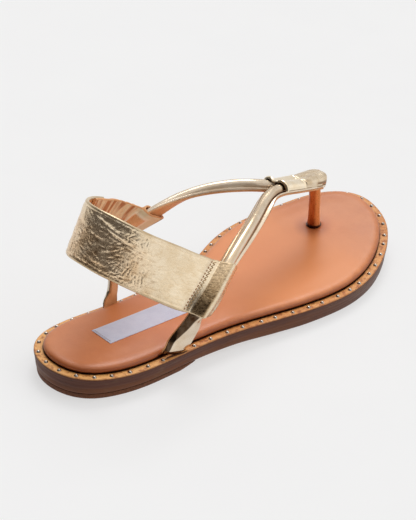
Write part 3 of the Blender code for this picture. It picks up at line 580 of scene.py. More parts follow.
def looks():
    made = {}
    made["gold_strap"] = gold_leather("gold_strap_leather", rgb(247, 230, 202), rgb(238, 215, 182), 0.17, grain=0.22)
    k = Look("gold_cap_leather")
    uv = k.coords.outputs["UV"]
    cloud, fine = k.noise(5.0, detail=4.0), k.noise(1.2, detail=3.0)
    pleats = k.noise(1.5, k.place((1.0, 0.16, 1.0)), detail=3.0)
    colour = k.mix(k.range(cloud, 0.38, 0.68), rgb(228, 210, 183), rgb(210, 187, 155))
    # painted shade along the pleats
    colour = k.mix(k.range(pleats, 0.54, 0.68, 0.0, 0.55), colour, rgb(190, 158, 120))
    turn = k.axis(uv, "Y")
    # painted shade: a dark line in the groove along the fold's lateral side
    fold = k.math("MAXIMUM", k.range(turn, 0.0014, 0.0006), k.range(turn, 0.0322, 0.0330))
    fold = k.math("MULTIPLY", fold, k.math("MULTIPLY", k.range(k.axis(uv, "X"), 0.1915, 0.1935), k.range(k.axis(uv, "X"), 0.2030, 0.2015)))
    colour = k.mix(k.math("MULTIPLY", fold, 0.85), colour, rgb(126, 88, 52))
    relief = k.bump(fine, 0.12, 0.12, k.bump(pleats, 0.35, 0.25))
    made["gold_cap"] = k.finish(colour, k.range(fine, 0.3, 0.7, 0.21, 0.30), relief, Metallic=1.0)
    made["gold_piping"] = piping_foil("gold_piping_leather", rgb(228, 211, 188), rgb(218, 196, 168), 0.20)
    made["gold_band"] = crinkled_foil("gold_band_leather", 0.27)
    made["gold_rim"] = gold_leather("gold_rim_leather", rgb(218, 197, 164), rgb(196, 170, 132), 0.34, grain=0.8, metallic=0.85)

    k = Look("post_tan_leather")
    uv = k.coords.outputs["UV"]
    streak = k.noise(2.2, k.place((0.22, 1.0, 1.0), "UV"), detail=3.0)
    fine = k.noise(0.7, detail=2.0)
    colour = k.mix(k.range(streak, 0.36, 0.66), rgb(178, 92, 40), rgb(214, 126, 66))
    colour = k.mix(k.range(fine, 0.45, 0.75, 0.0, 0.25), colour, rgb(150, 72, 30))
    turn = k.axis(uv, "Y")
    # painted light: the toe-facing and lateral side lighter
    painted_lit_side = k.math("MAXIMUM", k.range(turn, 0.0172, 0.0190), k.range(turn, 0.0075, 0.0045))
    colour = k.mix(k.math("MULTIPLY", painted_lit_side, 0.85), colour, rgb(250, 178, 112))
    # painted contact shadow round the post's foot
    foot = k.math("ADD", k.axis(k.coords.outputs["Object"], "Z"), k.math("MULTIPLY", k.math("SUBTRACT", fine, 0.5), 0.0012))
    colour = k.mix(k.range(foot, 0.0160, 0.0148), colour, rgb(64, 28, 14))
    made["gold_post"] = k.finish(colour, k.range(fine, 0.3, 0.7, 0.26, 0.36), k.bump(streak, 0.25, 0.2), Metallic=0.25)

    k = Look("lining_tan_leather")
    cloud, fine = k.noise(7.0, detail=4.0), k.noise(0.7, detail=2.0)
    colour = k.mix(k.range(cloud, 0.35, 0.7), rgb(228, 166, 110), rgb(206, 140, 86))
    colour = k.mix(k.range(fine, 0.4, 0.75, 0.0, 0.4), colour, rgb(238, 186, 134))
    relief = k.bump(k.cells(0.55), 0.25, 0.1)
    made["lining"] = k.finish(colour, k.range(fine, 0.3, 0.7, 0.48, 0.62), k.bump(cloud, 0.2, 0.3, relief))

    k = Look("footbed_tan_leather")
    cloud = k.noise(34.0, detail=5.0, rough=0.6)
    mid, fine = k.noise(6.5, detail=4.0), k.noise(0.9, detail=3.0)
    colour = k.mix(k.range(cloud, 0.36, 0.66), rgb(222, 138, 84), rgb(212, 126, 73))
    colour = k.mix(k.range(mid, 0.45, 0.75, 0.0, 0.25), colour, rgb(228, 148, 96))
    colour = k.mix(k.range(fine, 0.5, 0.8, 0.0, 0.20), colour, rgb(196, 112, 62))
    along = k.axis(k.coords.outputs["Object"], "Y")
    ball = k.math("MULTIPLY", k.range(along, -0.06, 0.02), k.range(along, 0.095, 0.055))
    colour = k.mix(k.math("MULTIPLY", ball, 0.8), colour, rgb(246, 158, 98))
    height = k.axis(k.coords.outputs["UV"], "Y")
    height = k.math("ADD", height, k.math("MULTIPLY", k.math("SUBTRACT", mid, 0.5), 0.0012))
    # painted shade down the pad's rolled edge, near black where it meets the welt
    colour = k.mix(k.range(height, 0.0041, 0.0022, 0.0, 0.75), colour, rgb(150, 74, 36))
    colour = k.mix(k.range(height, 0.0018, 0.0005), colour, rgb(56, 24, 12))
    hole = k.away(-0.0098, 0.0811, 0.0136)
    # painted reflection of the post in the glossy pad, in front of the post
    colour = k.mix(k.range(k.away(-0.0068, 0.0763, 0.0136), 0.0120, 0.0030, 0.0, 0.45), colour, rgb(172, 90, 50))
    # painted shadow of the tab round the post
    colour = k.mix(k.range(hole, 0.0130, 0.0048, 0.0, 0.35), colour, rgb(166, 80, 40))
    # painted shade in the post's hole
    colour = k.mix(k.range(hole, 0.0047, 0.0040), colour, rgb(70, 30, 15))
    pores = k.cells(0.8, feature="SMOOTH_F1")
    relief = k.bump(pores, 0.12, 0.08)
    relief = k.bump(fine, 0.12, 0.10, relief)
    relief = k.bump(k.noise(14.0, k.place((1.0, 0.35, 1.0)), detail=2.0), 0.15, 0.5, relief)
    made["footbed"] = k.finish(colour, k.range(fine, 0.3, 0.7, 0.29, 0.38), relief, **{"Specular_IOR_Level": 0.42})

    k = Look("welt_tan_leather")
    patches, fine = k.noise(3.0, detail=3.0, rough=0.6), k.noise(0.8, detail=3.0)
    broad = k.noise(13.0, detail=3.0)
    colour = k.mix(k.range(broad, 0.35, 0.7), rgb(240, 170, 100), rgb(226, 150, 82))
    colour = k.mix(k.range(k.axis(k.coords.outputs["Object"], "Y"), -0.045, -0.09, 0.0, 0.6), colour, rgb(254, 196, 118))
    colour = k.mix(k.range(patches, 0.50, 0.66, 0.0, 0.8), colour, rgb(172, 96, 48))
    colour = k.mix(k.range(patches, 0.46, 0.32, 0.0, 0.6), colour, rgb(250, 192, 124))
    colour = k.mix(k.range(fine, 0.5, 0.75, 0.0, 0.4), colour, rgb(190, 108, 58))
    inset = k.axis(k.coords.outputs["UV"], "X")
    inset = k.math("ADD", inset, k.math("MULTIPLY", k.math("SUBTRACT", broad, 0.5), 0.001))
    # painted shade where the welt runs in under the footbed's edge
    colour = k.mix(k.range(inset, 0.0040, 0.0050), colour, rgb(66, 30, 14))
    colour = k.mix(k.range(inset, 0.0007, 0.0001, 0.0, 0.5), colour, rgb(150, 82, 44))
    relief = k.bump(patches, 0.35, 0.3)
    made["welt"] = k.finish(colour, k.range(fine, 0.3, 0.7, 0.40, 0.54), k.bump(fine, 0.3, 0.12, relief), **{"Specular_IOR_Level": 0.30})

    # painted shadow: a dark brown lip where the straps go down into the welt, standing in for the slot's shade
    k = Look("painted_slot_shadow")
    fine = k.noise(0.9, detail=3.0)
    colour = k.mix(k.range(fine, 0.4, 0.7), rgb(84, 48, 25), rgb(120, 72, 38))
    made["slot"] = k.finish(colour, k.range(fine, 0.3, 0.7, 0.6, 0.75), k.bump(fine, 0.3, 0.12))

    k = Look("sole_edge_brown")
    lines = k.noise(0.55, k.place((0.05, 0.05, 1.0)), detail=4.0, rough=0.6)
    broad = k.noise(2.4, k.place((0.08, 0.08, 1.0)), detail=2.0)
    scuffs = k.noise(5.0, k.place((0.35, 0.35, 1.0)), detail=4.0, rough=0.65)
    height = k.axis(k.coords.outputs["Object"], "Z")
    along = k.axis(k.coords.outputs["Object"], "Y")
    lower = k.range(k.math("ADD", height, k.math("MULTIPLY", k.math("SUBTRACT", broad, 0.5), 0.003)), 0.0078, 0.0050)
    colour = k.mix(k.math("MULTIPLY", lower, k.range(along, 0.06, -0.03, 0.35, 1.0)), rgb(95, 56, 42), rgb(112, 65, 36))
    # painted reflection: the side greyer towards the toe
    toe = k.range(along, -0.01, 0.06)
    colour = k.mix(k.math("MULTIPLY", toe, 0.75), colour, rgb(101, 70, 57))
    colour = k.mix(k.range(lines, 0.52, 0.7, 0.0, 0.30), colour, rgb(58, 32, 23))
    colour = k.mix(k.range(lines, 0.48, 0.3, 0.0, 0.15), colour, rgb(122, 86, 68))
    colour = k.mix(k.range(scuffs, 0.56, 0.70, 0.0, 0.35), colour, rgb(120, 88, 62))
    colour = k.mix(k.range(scuffs, 0.44, 0.32, 0.0, 0.30), colour, rgb(75, 50, 45))
    relief = k.bump(lines, 0.35, 0.10)
    made["sole"] = k.finish(colour, k.range(broad, 0.3, 0.7, 0.42, 0.58), k.bump(broad, 0.3, 0.2, relief), **{"Specular_IOR_Level": 0.25})

    k = Look("heel_rubber_brown")
    lines = k.noise(0.6, k.place((0.06, 0.06, 1.0)), detail=3.0)
    speck = k.noise(1.1, detail=3.0)
    colour = k.mix(k.range(speck, 0.4, 0.7), rgb(118, 70, 42), rgb(98, 58, 36))
    colour = k.mix(k.range(lines, 0.5, 0.7, 0.0, 0.4), colour, rgb(64, 38, 26))
    made["lift"] = k.finish(colour, k.range(speck, 0.3, 0.7, 0.5, 0.66), k.bump(speck, 0.3, 0.12, k.bump(lines, 0.3, 0.12)), **{"Specular_IOR_Level": 0.25})

    k = Look("underside_leather")
    cloud, fine = k.noise(26.0, detail=5.0), k.noise(0.7, detail=3.0)
    colour = k.mix(k.range(cloud, 0.35, 0.7), rgb(150, 112, 82), rgb(128, 90, 62))
    colour = k.mix(k.range(fine, 0.5, 0.75, 0.0, 0.5), colour, rgb(104, 70, 48))
    tread = k.node("ShaderNodeTexBrick", {"Vector": k.place((1, 1, 1), turn=(0, 0, 0.6)), "Scale": 160.0,
                   "Mortar Size": 0.06, "Mortar Smooth": 0.3, "Brick Width": 0.5, "Row Height": 0.5}, out=1)
    made["under"] = k.finish(colour, k.range(fine, 0.3, 0.7, 0.55, 0.72), k.bump(fine, 0.3, 0.15, k.bump(tread, 0.25, 0.25)))

    k = Look("polished_gold_metal")
    cloud, fine = k.noise(7.0, detail=2.0), k.noise(0.5, k.place((1, 0.08, 1)), detail=2.0)
    colour = k.mix(k.range(cloud, 0.35, 0.7), rgb(252, 238, 214), rgb(244, 224, 192))
    made["metal"] = k.finish(colour, k.range(fine, 0.3, 0.7, 0.07, 0.14), k.bump(fine, 0.06, 0.05), Metallic=1.0)

    k = Look("stud_steel")
    cloud, fine = k.noise(5.0, detail=2.0), k.noise(0.35, detail=2.0)
    colour = k.mix(k.range(cloud, 0.35, 0.7), rgb(206, 198, 188), rgb(168, 156, 144))
    made["stud"] = k.finish(colour, k.range(fine, 0.3, 0.7, 0.12, 0.22), k.bump(fine, 0.08, 0.05), Metallic=1.0)

    k = Look("label_woven")
    uv = k.coords.outputs["UV"]
    weave = k.node("ShaderNodeTexWave", {"Vector": uv, "Scale": 620.0, "Distortion": 0.6, "Detail": 1.0},
                   bands_direction="X")
    weft = k.node("ShaderNodeTexWave", {"Vector": uv, "Scale": 480.0, "Distortion": 0.6, "Detail": 1.0},
                  bands_direction="Y")
    cloud, fine = k.noise(5.0, detail=3.0), k.noise(0.35, detail=2.0)
    colour = k.mix(k.range(cloud, 0.35, 0.7), rgb(220, 228, 250), rgb(212, 220, 244))
    colour = k.mix(k.range(k.math("MULTIPLY", weave, weft), 0.05, 0.6, 0.30, 0.0), colour, rgb(206, 208, 228))
    colour = k.mix(k.range(fine, 0.5, 0.8, 0.0, 0.35), colour, rgb(250, 251, 255))
    side = k.math("ABSOLUTE", k.axis(uv, "Y"))
    colour = k.mix(k.math("MULTIPLY", k.range(side, 0.0066, 0.0070), 0.6), colour, rgb(222, 230, 255))
    made["label"] = k.finish(colour, 0.62, k.bump(k.math("ADD", weave, weft), 0.4, 0.12), **{"Sheen_Weight": 0.3, "Sheen_Roughness": 0.4})

    k = Look("gold_elastic_rib")
    uv = k.coords.outputs["UV"]
    ribs = k.node("ShaderNodeTexWave", {"Vector": uv, "Scale": 300.0, "Distortion": 0.25, "Detail": 1.0}, bands_direction="Y")
    cross = k.node("ShaderNodeTexWave", {"Vector": uv, "Scale": 520.0, "Distortion": 0.5, "Detail": 1.0}, bands_direction="X")
    fine, cloud = k.noise(0.5, detail=2.0), k.noise(8.0, detail=3.0)
    colour = k.mix(k.range(ribs, 0.1, 0.9), rgb(150, 112, 72), rgb(222, 190, 146))
    colour = k.mix(k.range(cross, 0.2, 0.9, 0.0, 0.35), colour, rgb(128, 94, 60))
    colour = k.mix(k.range(cloud, 0.35, 0.7, 0.0, 0.3), colour, rgb(196, 160, 116))
    relief = k.bump(ribs, 0.6, 0.3)
    made["elastic"] = k.finish(colour, k.range(fine, 0.3, 0.7, 0.38, 0.52), k.bump(cross, 0.3, 0.15, relief), Metallic=0.45)

    for name, light, dark in (("thread_gold", (226, 196, 150), (176, 138, 92)), ("thread_tan", (196, 140, 92), (150, 98, 58)),
                              ("thread_grey", (214, 208, 214), (182, 176, 186))):
        k = Look(name)
        twist = k.node("ShaderNodeTexWave", {"Vector": k.place((1, 1, 1), turn=(0.6, 0.5, 0.7)), "Scale": 900.0,
                       "Distortion": 1.0, "Detail": 1.0})
        fine = k.noise(0.5, detail=2.0)
        colour = k.mix(k.range(twist, 0.2, 0.9), rgb(*dark), rgb(*light))
        colour = k.mix(k.range(fine, 0.5, 0.8, 0.0, 0.3), colour, rgb(*dark))
        made[name] = k.finish(colour, 0.55, k.bump(twist, 0.4, 0.08), **{"Sheen_Weight": 0.2})

    k = Look("floor_pale")
    grain, broad = k.noise(60.0, detail=3.0), k.noise(900.0, detail=2.0)
    colour = k.mix(k.range(grain, 0.3, 0.7), (0.345, 0.345, 0.348), (0.355, 0.355, 0.356))
    colour = k.mix(k.range(broad, 0.3, 0.7, 0.0, 0.5), colour, (0.35, 0.35, 0.352))
    made["floor"] = k.finish(colour, 0.9, **{"Specular_IOR_Level": 0.0, "Emission_Color": (1.0, 1.0, 1.0, 1.0), "Emission_Strength": FLOOR_GLOW})
    return made


FLOOR_GLOW = 0.578  # the floor is a lit white table
LOOK = looks()


# ------------------------------------------------------------------ sole and welt
def wall_rings(profile, side):
    """Rings (inset, z of y) with the shoe's outline; also each point's place."""
    p, out, at, total = outline(side)
    rings = []
    for inset, level in profile:
        q = p - out * inset
        rings.append(np.column_stack([q, level(q[:, 1])]))
    return np.array(rings)


def paired_fill(ring, level, across, start, first):
    """Rows across the shoe between the ring's lateral and medial points. ring starts
    at index first of the mesh; new points start at index start."""
    n = len(ring)
    m = n // 2
    verts, faces, rows = [], [], []
    for i in range(1, m):
        a, b = ring[i], ring[n - i]
        w = (np.arange(1, across + 1) / (across + 1))[:, None]
        q = a[:2] + (b[:2] - a[:2]) * w
        rows.append([first + i] + [start + len(verts) + k for k in range(across)] + [first + n - i])
        verts += q.tolist()
    xy = np.array(verts)
    z = level(xy[:, 0], xy[:, 1])
    for tip, row in ((first, rows[0]), (first + m, rows[-1])):
        faces += [[tip, row[k], row[k + 1]] for k in range(len(row) - 1)]
    for one, two in zip(rows, rows[1:]):
        faces += [[one[k], one[k + 1], two[k + 1], two[k]] for k in range(len(one) - 1)]
    return np.column_stack([xy, z]), faces


def build_sole():
    side = 240
    top = lambda y: WELT_TOP(y) - WELT_T - 0.04
    shares = np.concatenate([[0.0], np.linspace(0.05, 0.97, 17), [1.0]])

    def level(share):
        return lambda y: (UNDER(y) + 1.3) + (top(y) - UNDER(y) - 1.3) * share

    profile = [(9.5, UNDER), (6.1, UNDER), (5.75, lambda y: UNDER(y) + 0.3), (5.2, lambda y: UNDER(y) + 0.38),
               (4.65, lambda y: UNDER(y) + 0.3), (4.3, UNDER), (SOLE_INSET + 1.3, UNDER),
               (SOLE_INSET + 0.75, lambda y: UNDER(y) + 0.12), (SOLE_INSET + 0.3, lambda y: UNDER(y) + 0.45)]
    for s in shares:
        groove = 0.16 * bell((s - 0.36) / 0.035) + 0.14 * bell((s - 0.70) / 0.035)
        profile.append((SOLE_INSET + (0.15 - SOLE_INSET) * s + groove, level(s)))
    profile.append((12.0, top))
    rings = wall_rings(profile, side)
    arc = np.tile(np.arange(2 * side)[:, None], (1, 3)) * 1.2
    wob = noise(np.column_stack([rings[9, :, 0], rings[9, :, 1], np.zeros(2 * side)]), 3.0, 5)
    for r in range(9, 9 + len(shares)):
        xy = rings[r, :, :2] * 1.0
        ragged = noise(np.column_stack([xy / 2.2, np.full(2 * side, r * 1.7)]), 1.0, 11, 2) * 0.05
        c = np.array([6.9, 125.0])
        rings[r, :, :2] += unit(c - xy) * ragged[:, None]
    verts, faces = tube(rings, cap=False)
    n = 2 * side
    index = [0] * len(faces)
    for k in range(len(faces)):
        if k // n < 6:
            index[k] = 1
    fill, more = paired_fill(rings[0], lambda x, y: UNDER(y), 14, len(verts), 0)
    faces += more
    index += [1] * len(more)
    verts = np.vstack([verts, fill])
    last = (len(profile) - 1) * n
    fill, more = paired_fill(rings[-1], lambda x, y: top(y), 2, len(verts), last)
    verts = np.vstack([verts, fill])
    faces += more
    index += [0] * len(more)
    piece("sole_stack", verts, faces, [LOOK["sole"], LOOK["under"]], "sole_brown", "outsole", index=index, sharp=50)


def build_lift():
    p, out, at, total = outline(400)
    n = len(p)
    rings = []
    high = lambda y: np.maximum(1.0, UNDER(y) - 0.05)
    profile = [(SOLE_INSET + 1.6, 0.0), (SOLE_INSET + 1.0, 0.06), (SOLE_INSET + 0.62, 0.3), (SOLE_INSET + 0.5, 0.7),
               (SOLE_INSET + 0.46, 1.4), (SOLE_INSET + 0.42, 2.0), (SOLE_INSET + 0.5, None)]
    for inset, z in profile:
        q = p - out * inset
        half = n // 2
        cut = HEEL_LIFT_END - (0.0 if z is None else 12.0 * (1 - min(z / 2.6, 1.0)) ** 1.25)
        lat = q[:half][q[:half, 1] < cut]
        med = q[half:][q[half:, 1] < cut]
        path = np.vstack([med, lat])
        ends = []
        for a, b in ((path[0], path[1]), (path[-1], path[-2])):
            w = (cut - b[1]) / (a[1] - b[1])
            ends.append(b + (a - b) * w)
        path = np.vstack([ends[0], path[1:-1], ends[1]])
        s = np.concatenate([[0], np.cumsum(np.linalg.norm(np.diff(path, axis=0), axis=1))])
        u = np.linspace(0, s[-1], 220)
        line = np.column_stack([np.interp(u, s, path[:, 0]), np.interp(u, s, path[:, 1])])
        w = np.linspace(0, 1, 32)[1:-1, None]
        ring = np.vstack([line, line[-1] + (line[0] - line[-1]) * w])
        zz = high(ring[:, 1]) if z is None else np.minimum(z, high(ring[:, 1]) - 0.1)
        rings.append(np.column_stack([ring, zz * np.ones(len(ring))]))
    verts, faces = tube(rings)
    piece("heel_lift_rubber", verts, faces, LOOK["lift"], "heel_rubber", "heel_lift", sharp=40)


def build_welt():
    side = 300
    section = [(0.30, -2.0), (0.05, -1.85), (0.0, -1.5), (0.0, -0.75), (0.02, -0.4), (0.14, -0.16), (0.40, -0.03),
               (0.8, 0.0), (1.05, -0.05), (1.3, 0.0), (2.2, 0.02), (3.4, 0.0), (5.0, -0.05), (9.0, -0.1), (11.5, -0.15), (11.5, -2.0)]
    profile = [(i, (lambda y, h=h: WELT_TOP(y) + h)) for i, h in section]
    rings = wall_rings(profile, side)
    for r, (i, h) in enumerate(section):
        if 0.3 < i < 6 and h > -1:
            rings[r, :, 2] += noise(rings[r, :, :2], 7.0, 3, 2) * 0.05
    n = 2 * side
    m = len(section)
    faces = grid(m, n, wrap_cols=True, wrap_rows=True)
    index = []
    for r in range(m):
        index += [0 if 4 <= r <= 13 else 1] * n
    uv = np.array([[i, k * 0.9] for i, h in section for k in range(n)])
    piece("welt_strip", rings.reshape(-1, 3), faces, [LOOK["welt"], LOOK["sole"]], "welt_tan", "welt", index=index, uv=uv, sharp=55)


def build_studs():
    p, out, at, total = outline(10)
    fine = at(np.linspace(0, total, 6001))
    s = np.concatenate([[0], np.cumsum(np.linalg.norm(np.diff(fine, axis=0), axis=1))])
    whole = Parts()
    dome = [(1.12, -0.25), (1.12, 0.10), (1.0, 0.16), (0.97, 0.28), (0.86, 0.5), (0.66, 0.72), (0.4, 0.86), (0.16, 0.92)]
    dome = [(r * STUD_R, h * STUD_R) for r, h in dome]
    ang = 2 * np.pi * np.arange(16) / 16
    for k in range(STUD_COUNT):
        q = (STUD_START + (k + 0.12 * float(noise(np.array([[k * 1.7, 0.0]]), 1.0, 9)[0])) * s[-1] / STUD_COUNT) % s[-1]
        u = float(np.interp(q, s, np.linspace(0, total, 6001)))
        c = at(np.array([u]))[0]
        d = unit(at(np.array([u + 0.3]))[0] - at(np.array([u - 0.3]))[0])
        o = np.array([d[1], -d[0]])
        c = c - o * STUD_INSET
        if any(np.sign(c[0]) == strap.side and abs(c[1] - float(strap.at(np.array([0.0]))[0, 1]) + shift) < 4.6
               for strap, shift in ((LATERAL, 0.5), (MEDIAL, 0.0))):
            continue  # under the strap's foot
        slope = float(WELT_TOP(c[1] + 0.5) - WELT_TOP(c[1] - 0.5))
        up = unit(np.array([0.0, -slope, 1.0]))
        e1 = unit(np.cross(np.array([0.0, 1.0, 0.0]), up))
        e2 = np.cross(up, e1)
        base = np.array([c[0], c[1], float(WELT_TOP(c[1]))])
        rings = [base + up * h + r * (np.cos(ang)[:, None] * e1 + np.sin(ang)[:, None] * e2) for r, h in dome]
        v, f = tube(rings)
        whole.add(v, f)
    whole.build("welt_studs", LOOK["stud"], "stud_metal", sharp=60)


# ------------------------------------------------------------------ straps
class Strap:
    def __init__(self, rows, side):
        self.side = side
        rows = list(rows)
        for x, y, z in TAB_LINE:
            rows.append((x + side * CORD_OFFSET, y, z, 0.0, STRAP_W, CORD_H))
        self.at, self.length = spline([r[:3] for r in rows])
        p = np.array([r[:3] for r in rows], float)
        s = np.concatenate([[0.0], np.cumsum(np.linalg.norm(np.diff(p, axis=0), axis=1))])
        table = [(s[i], rows[i][3], rows[i][4], rows[i][5]) for i in range(len(rows))]
        self.lean, self.width, self.cord = (smooth(table, k) for k in (1, 2, 3))
        self.s_fine = np.linspace(0.0, self.length, 600)
        self.y_fine = self.at(self.s_fine)[:, 1]

    def frame(self, s):
        s = np.asarray(s, float)
        held = np.clip(s, 0.0, self.length)
        t = unit(self.at(held + 0.5) - self.at(held - 0.5))
        lean = np.radians(self.lean(s))
        n = np.stack([self.side * np.sin(lean), 0 * lean, np.cos(lean)], -1)
        n = unit(n - t * (n * t).sum(-1, keepdims=True))
        c = self.at(s) + t * np.minimum(s, 0.0)[..., None]
        return c, t, np.cross(n, t) * self.side, n

    def station(self, y):
        return float(self.s_fine[int(np.argmin(abs(self.y_fine - y)))])


LATERAL, MEDIAL = Strap(LATERAL_STRAP, 1), Strap(MEDIAL_STRAP, -1)
HALF = (STRAP_T + CORD_H) / 2
FLAT = STRAP_T - HALF


def strap_section(w, toe, cord, ridge, roof, shift=0.0):
    """Gold shell's outline, from its heel edge over to its toe edge: a flat flange with a
    rolled cord on it, off centre by shift, or as roof nears 1 two faces that meet at the
    ridge."""
    low = -HALF + 0.98
    halves = []
    for w1, top, off in ((w, ridge, shift), (toe, -ridge, -shift)):
        cw = min(CORD_W / 2 + (CORD_H - cord) * 1.3, w1 - 0.62 - off)
        foot = cw + off
        side = [(w1 - 0.25, low), (w1 - 0.04, low + 0.2), (w1, low + 0.5), (w1 - 0.05, FLAT - 0.22), (w1 - 0.22, FLAT - 0.04),
                ((w1 + foot) / 2, FLAT), (min(foot + 0.12, w1 - 0.23), FLAT - 0.05)]
        for angle in np.linspace(-2, 90, 12):
            r = math.radians(angle)
            swell = 1.0 - 0.03 * math.cos(2 * r) if cord > 2 else 1.0
            side.append((cw * math.cos(r) * swell + off, FLAT - 0.02 + cord * max(math.sin(r), -0.02)))
        side = np.array(side)
        k = np.linspace(0, 1, len(side) - 2)[:, None]
        flat = side[2] + (np.array([top, FLAT + 0.62 * cord]) - side[2]) * k
        flat[:, 1] += 0.22 * np.sin(np.pi * k[:, 0]) - 0.16 * bell((1 - k[:, 0]) / 0.10)
        side[2:] += (flat - side[2:]) * roof
        halves.append(side)
    return np.vstack([halves[0], (halves[1] * [-1, 1])[-2::-1]])


RIDGE = ((-1.4, 6.6), (0.0, 6.2), (4.0, 4.6), (10.0, 2.2), (18.0, 0.4), (22.0, 0.0), (30.0, 0.0))


def strap_shape(strap, s):
    """The strap's frame with what is done to it: its base set out over the welt and
    the inner strap turned below the band; also its half widths, heel side and toe side."""
    c, t, a, n = strap.frame(s)
    out = np.zeros_like(c)
    out[:, 0] = strap.side
    c = c + out * ((2.3 if strap is LATERAL else 1.4) * np.clip(1 - s / 12.0, 0, 1) ** 1.5)[:, None]
    half = strap.width(s) / 2
    low = 1 - ease(s, 16, 23.5)
    if strap is MEDIAL:
        turn = np.radians(22.0) * ease(s, 2, 8) * (1 - ease(s, 18, 25))
        a, n = a * np.cos(turn)[:, None] - n * np.sin(turn)[:, None], n * np.cos(turn)[:, None] + a * np.sin(turn)[:, None]
        heel, toe = np.minimum(half, 4.0 + 0.5 * low), np.minimum(half, 4.0 + 1.0 * low)
    else:
        turn = np.radians(20.0) * ease(s, 1, 8) * (1 - ease(s, 21, 27))
        a, n = a * np.cos(turn)[:, None] - n * np.sin(turn)[:, None], n * np.cos(turn)[:, None] + a * np.sin(turn)[:, None]
        heel = half + 0.8 * np.clip(1 - s / 8.0, 0, 1)
        toe = half + 1.6 * low - 3.4 * (1 - ease(s, -1.0, 11.0)) + 0.7 * bell((s - 13) / 6.0)
    # past the band the cord lies off centre, beside a wider flange
    piped = ease(s, 25, 32) * (1 - ease(s, strap.station(142.0), strap.station(156.0)))
    if strap is LATERAL:
        toe = toe + 0.9 * piped
    else:
        heel = heel + 0.6 * piped
    return c, t, a, n, out, heel, toe, piped * (0.5 if strap is LATERAL else -0.4)


def build_straps():
    gold, lining, slots = Parts(), Parts(), Parts()
    ridge_at = smooth(RIDGE, 1)
    for strap, seed in ((LATERAL, 21), (MEDIAL, 47)):
        s = np.concatenate([np.linspace(-1.4, 24, 120), np.linspace(24, strap.length, 300)[1:]])
        c, t, a, n, out, heel, toe, shift = strap_shape(strap, s)
        cord, ridge = strap.cord(s), np.minimum(ridge_at(s), heel - 1.2)
        roof = 1 - ease(s, 20, 26)
        curl_at = lambda at, most=3.6 if strap is LATERAL else 0.8: most * max(1 - at / 10.0, 0.0) ** 1.6
        rings, slabs, uvs = [], [], []
        pleats = bell((s - strap.station(156.5)) / 6.5)
        for k in range(len(s)):
            pts = strap_section(heel[k], toe[k], cord[k], ridge[k], roof[k], shift[k])
            place = np.cumsum(np.concatenate([[0], np.linalg.norm(np.diff(pts, axis=0), axis=1)]))
            place = place[len(pts) // 2] - place
            if strap is MEDIAL and s[k] > 24:
                place = -place  # so that the shaded side is the one away from the light on both
            curl = out[k] * curl_at(s[k]) * ease(-pts, -1.0 - ridge[k], toe[k] + 1.0)[:, :1]
            ring = c[k] + a[k] * pts[:, :1] + n[k] * pts[:, 1:] + curl
            high = ease(pts[:, 1], FLAT, FLAT + 1.0)
            bump = noise(np.column_stack([np.full(len(pts), s[k] / 1.6), pts * 0.9]), 2.4, seed, 2) * 0.028
            bump += noise(np.column_stack([np.full(len(pts), s[k]), pts * 0.4]), 9.0, seed + 3) * 0.06
            bump += pleats[k] * 0.085 * np.cos(np.arctan2(pts[:, 1] - FLAT, pts[:, 0]) * 17 + 0.05 * s[k])
            ring += n[k] * (bump * high)[:, None] + a[k] * (bump * high * np.sign(pts[:, 0]) * 0.5)[:, None]
            # the leaf's lower end stands clear of the welt, more so towards the toe
            cut = 0.3 + 1.6 * np.clip((ridge[k] - pts[:, 0]) / 9.0, 0, 1)
            ring -= n[k] * (0.75 * (1 - ease(s[k] - cut, 0.0, 0.3)) * ease(pts[:, 1], -HALF + 1.2, FLAT))[:, None]
            rings.append(ring)
            uvs.append(np.column_stack([np.full(len(pts), s[k]), place]))
            lh, lt = heel[k] + 0.02, toe[k] + 0.02 - 0.7 * roof[k]
            slab = np.array([(-lt + 0.12, -HALF), (lh - 0.12, -HALF), (lh, -HALF + 0.14), (lh, -HALF + 0.82), (lh - 0.12, -HALF + 0.95),
                             (-lt + 0.12, -HALF + 0.95), (-lt, -HALF + 0.82), (-lt, -HALF + 0.14)])
            curl = out[k] * curl_at(s[k]) * ease(-slab, -1.0 - ridge[k], toe[k] + 1.0)[:, :1]
            slabs.append(c[k] + a[k] * slab[:, :1] + n[k] * slab[:, 1:] + curl)
        v, f = tube(rings)
        gold.add(v, f, np.vstack(uvs))
        stop = int(np.searchsorted(s, strap.station(199.0)))
        v, f = tube(slabs[:stop])
        lining.add(v, f)
        # the slot that the strap goes down into: its lip on the welt round the foot, dark brown as painted shadow
        k = int(np.argmin(abs(s)))
        u = np.linspace(-toe[k] - 0.5, heel[k] + 0.5, 40)
        foot = c[k] + a[k] * u[:, None] + n[k] * (FLAT + 0.1) + out[k] * curl_at(0.6) * ease(-u[:, None], -1.0 - ridge[k], toe[k] + 1.0)
        half = 0.8 * np.sqrt(np.clip(1 - np.linspace(-1, 1, 40) ** 2, 0.02, 1))
        level = WELT_TOP(foot[:, 1])
        lips = []
        for e, h in ((-0.5, -0.3), (-1.0, 0.02), (-0.9, 0.08), (0.0, 0.10), (0.9, 0.08), (1.0, 0.02), (0.5, -0.3)):
            row = foot.copy()
            row[:, 0] += strap.side * (half * e)
            row[:, 2] = level + h
            lips.append(row)
        v, f = tube(np.swapaxes(np.array(lips), 0, 1))
        slots.add(v, f)
    gold.build("piped_straps", LOOK["gold_piping"], "gold_leather", "upper", sharp=38)
    lining.build("strap_linings", LOOK["lining"], "lining_tan", "upper", sharp=38)
    slots.build("strap_slot_shadows", LOOK["slot"], "welt_tan", sharp=50)


def tab_frame(y):
    at, length = spline(TAB_LINE + ((0.6, 209.0, 43.0),))
    s = np.linspace(0.0, length, 800)
    k = np.interp(y, at(s)[:, 1], s)
    t = unit(at(k + 0.5) - at(k - 0.5))
    up = np.zeros_like(t)
    up[..., 2] = 1.0
    n = unit(up - t * t[..., 2:])
    return at(k), t, np.cross(t, n), n


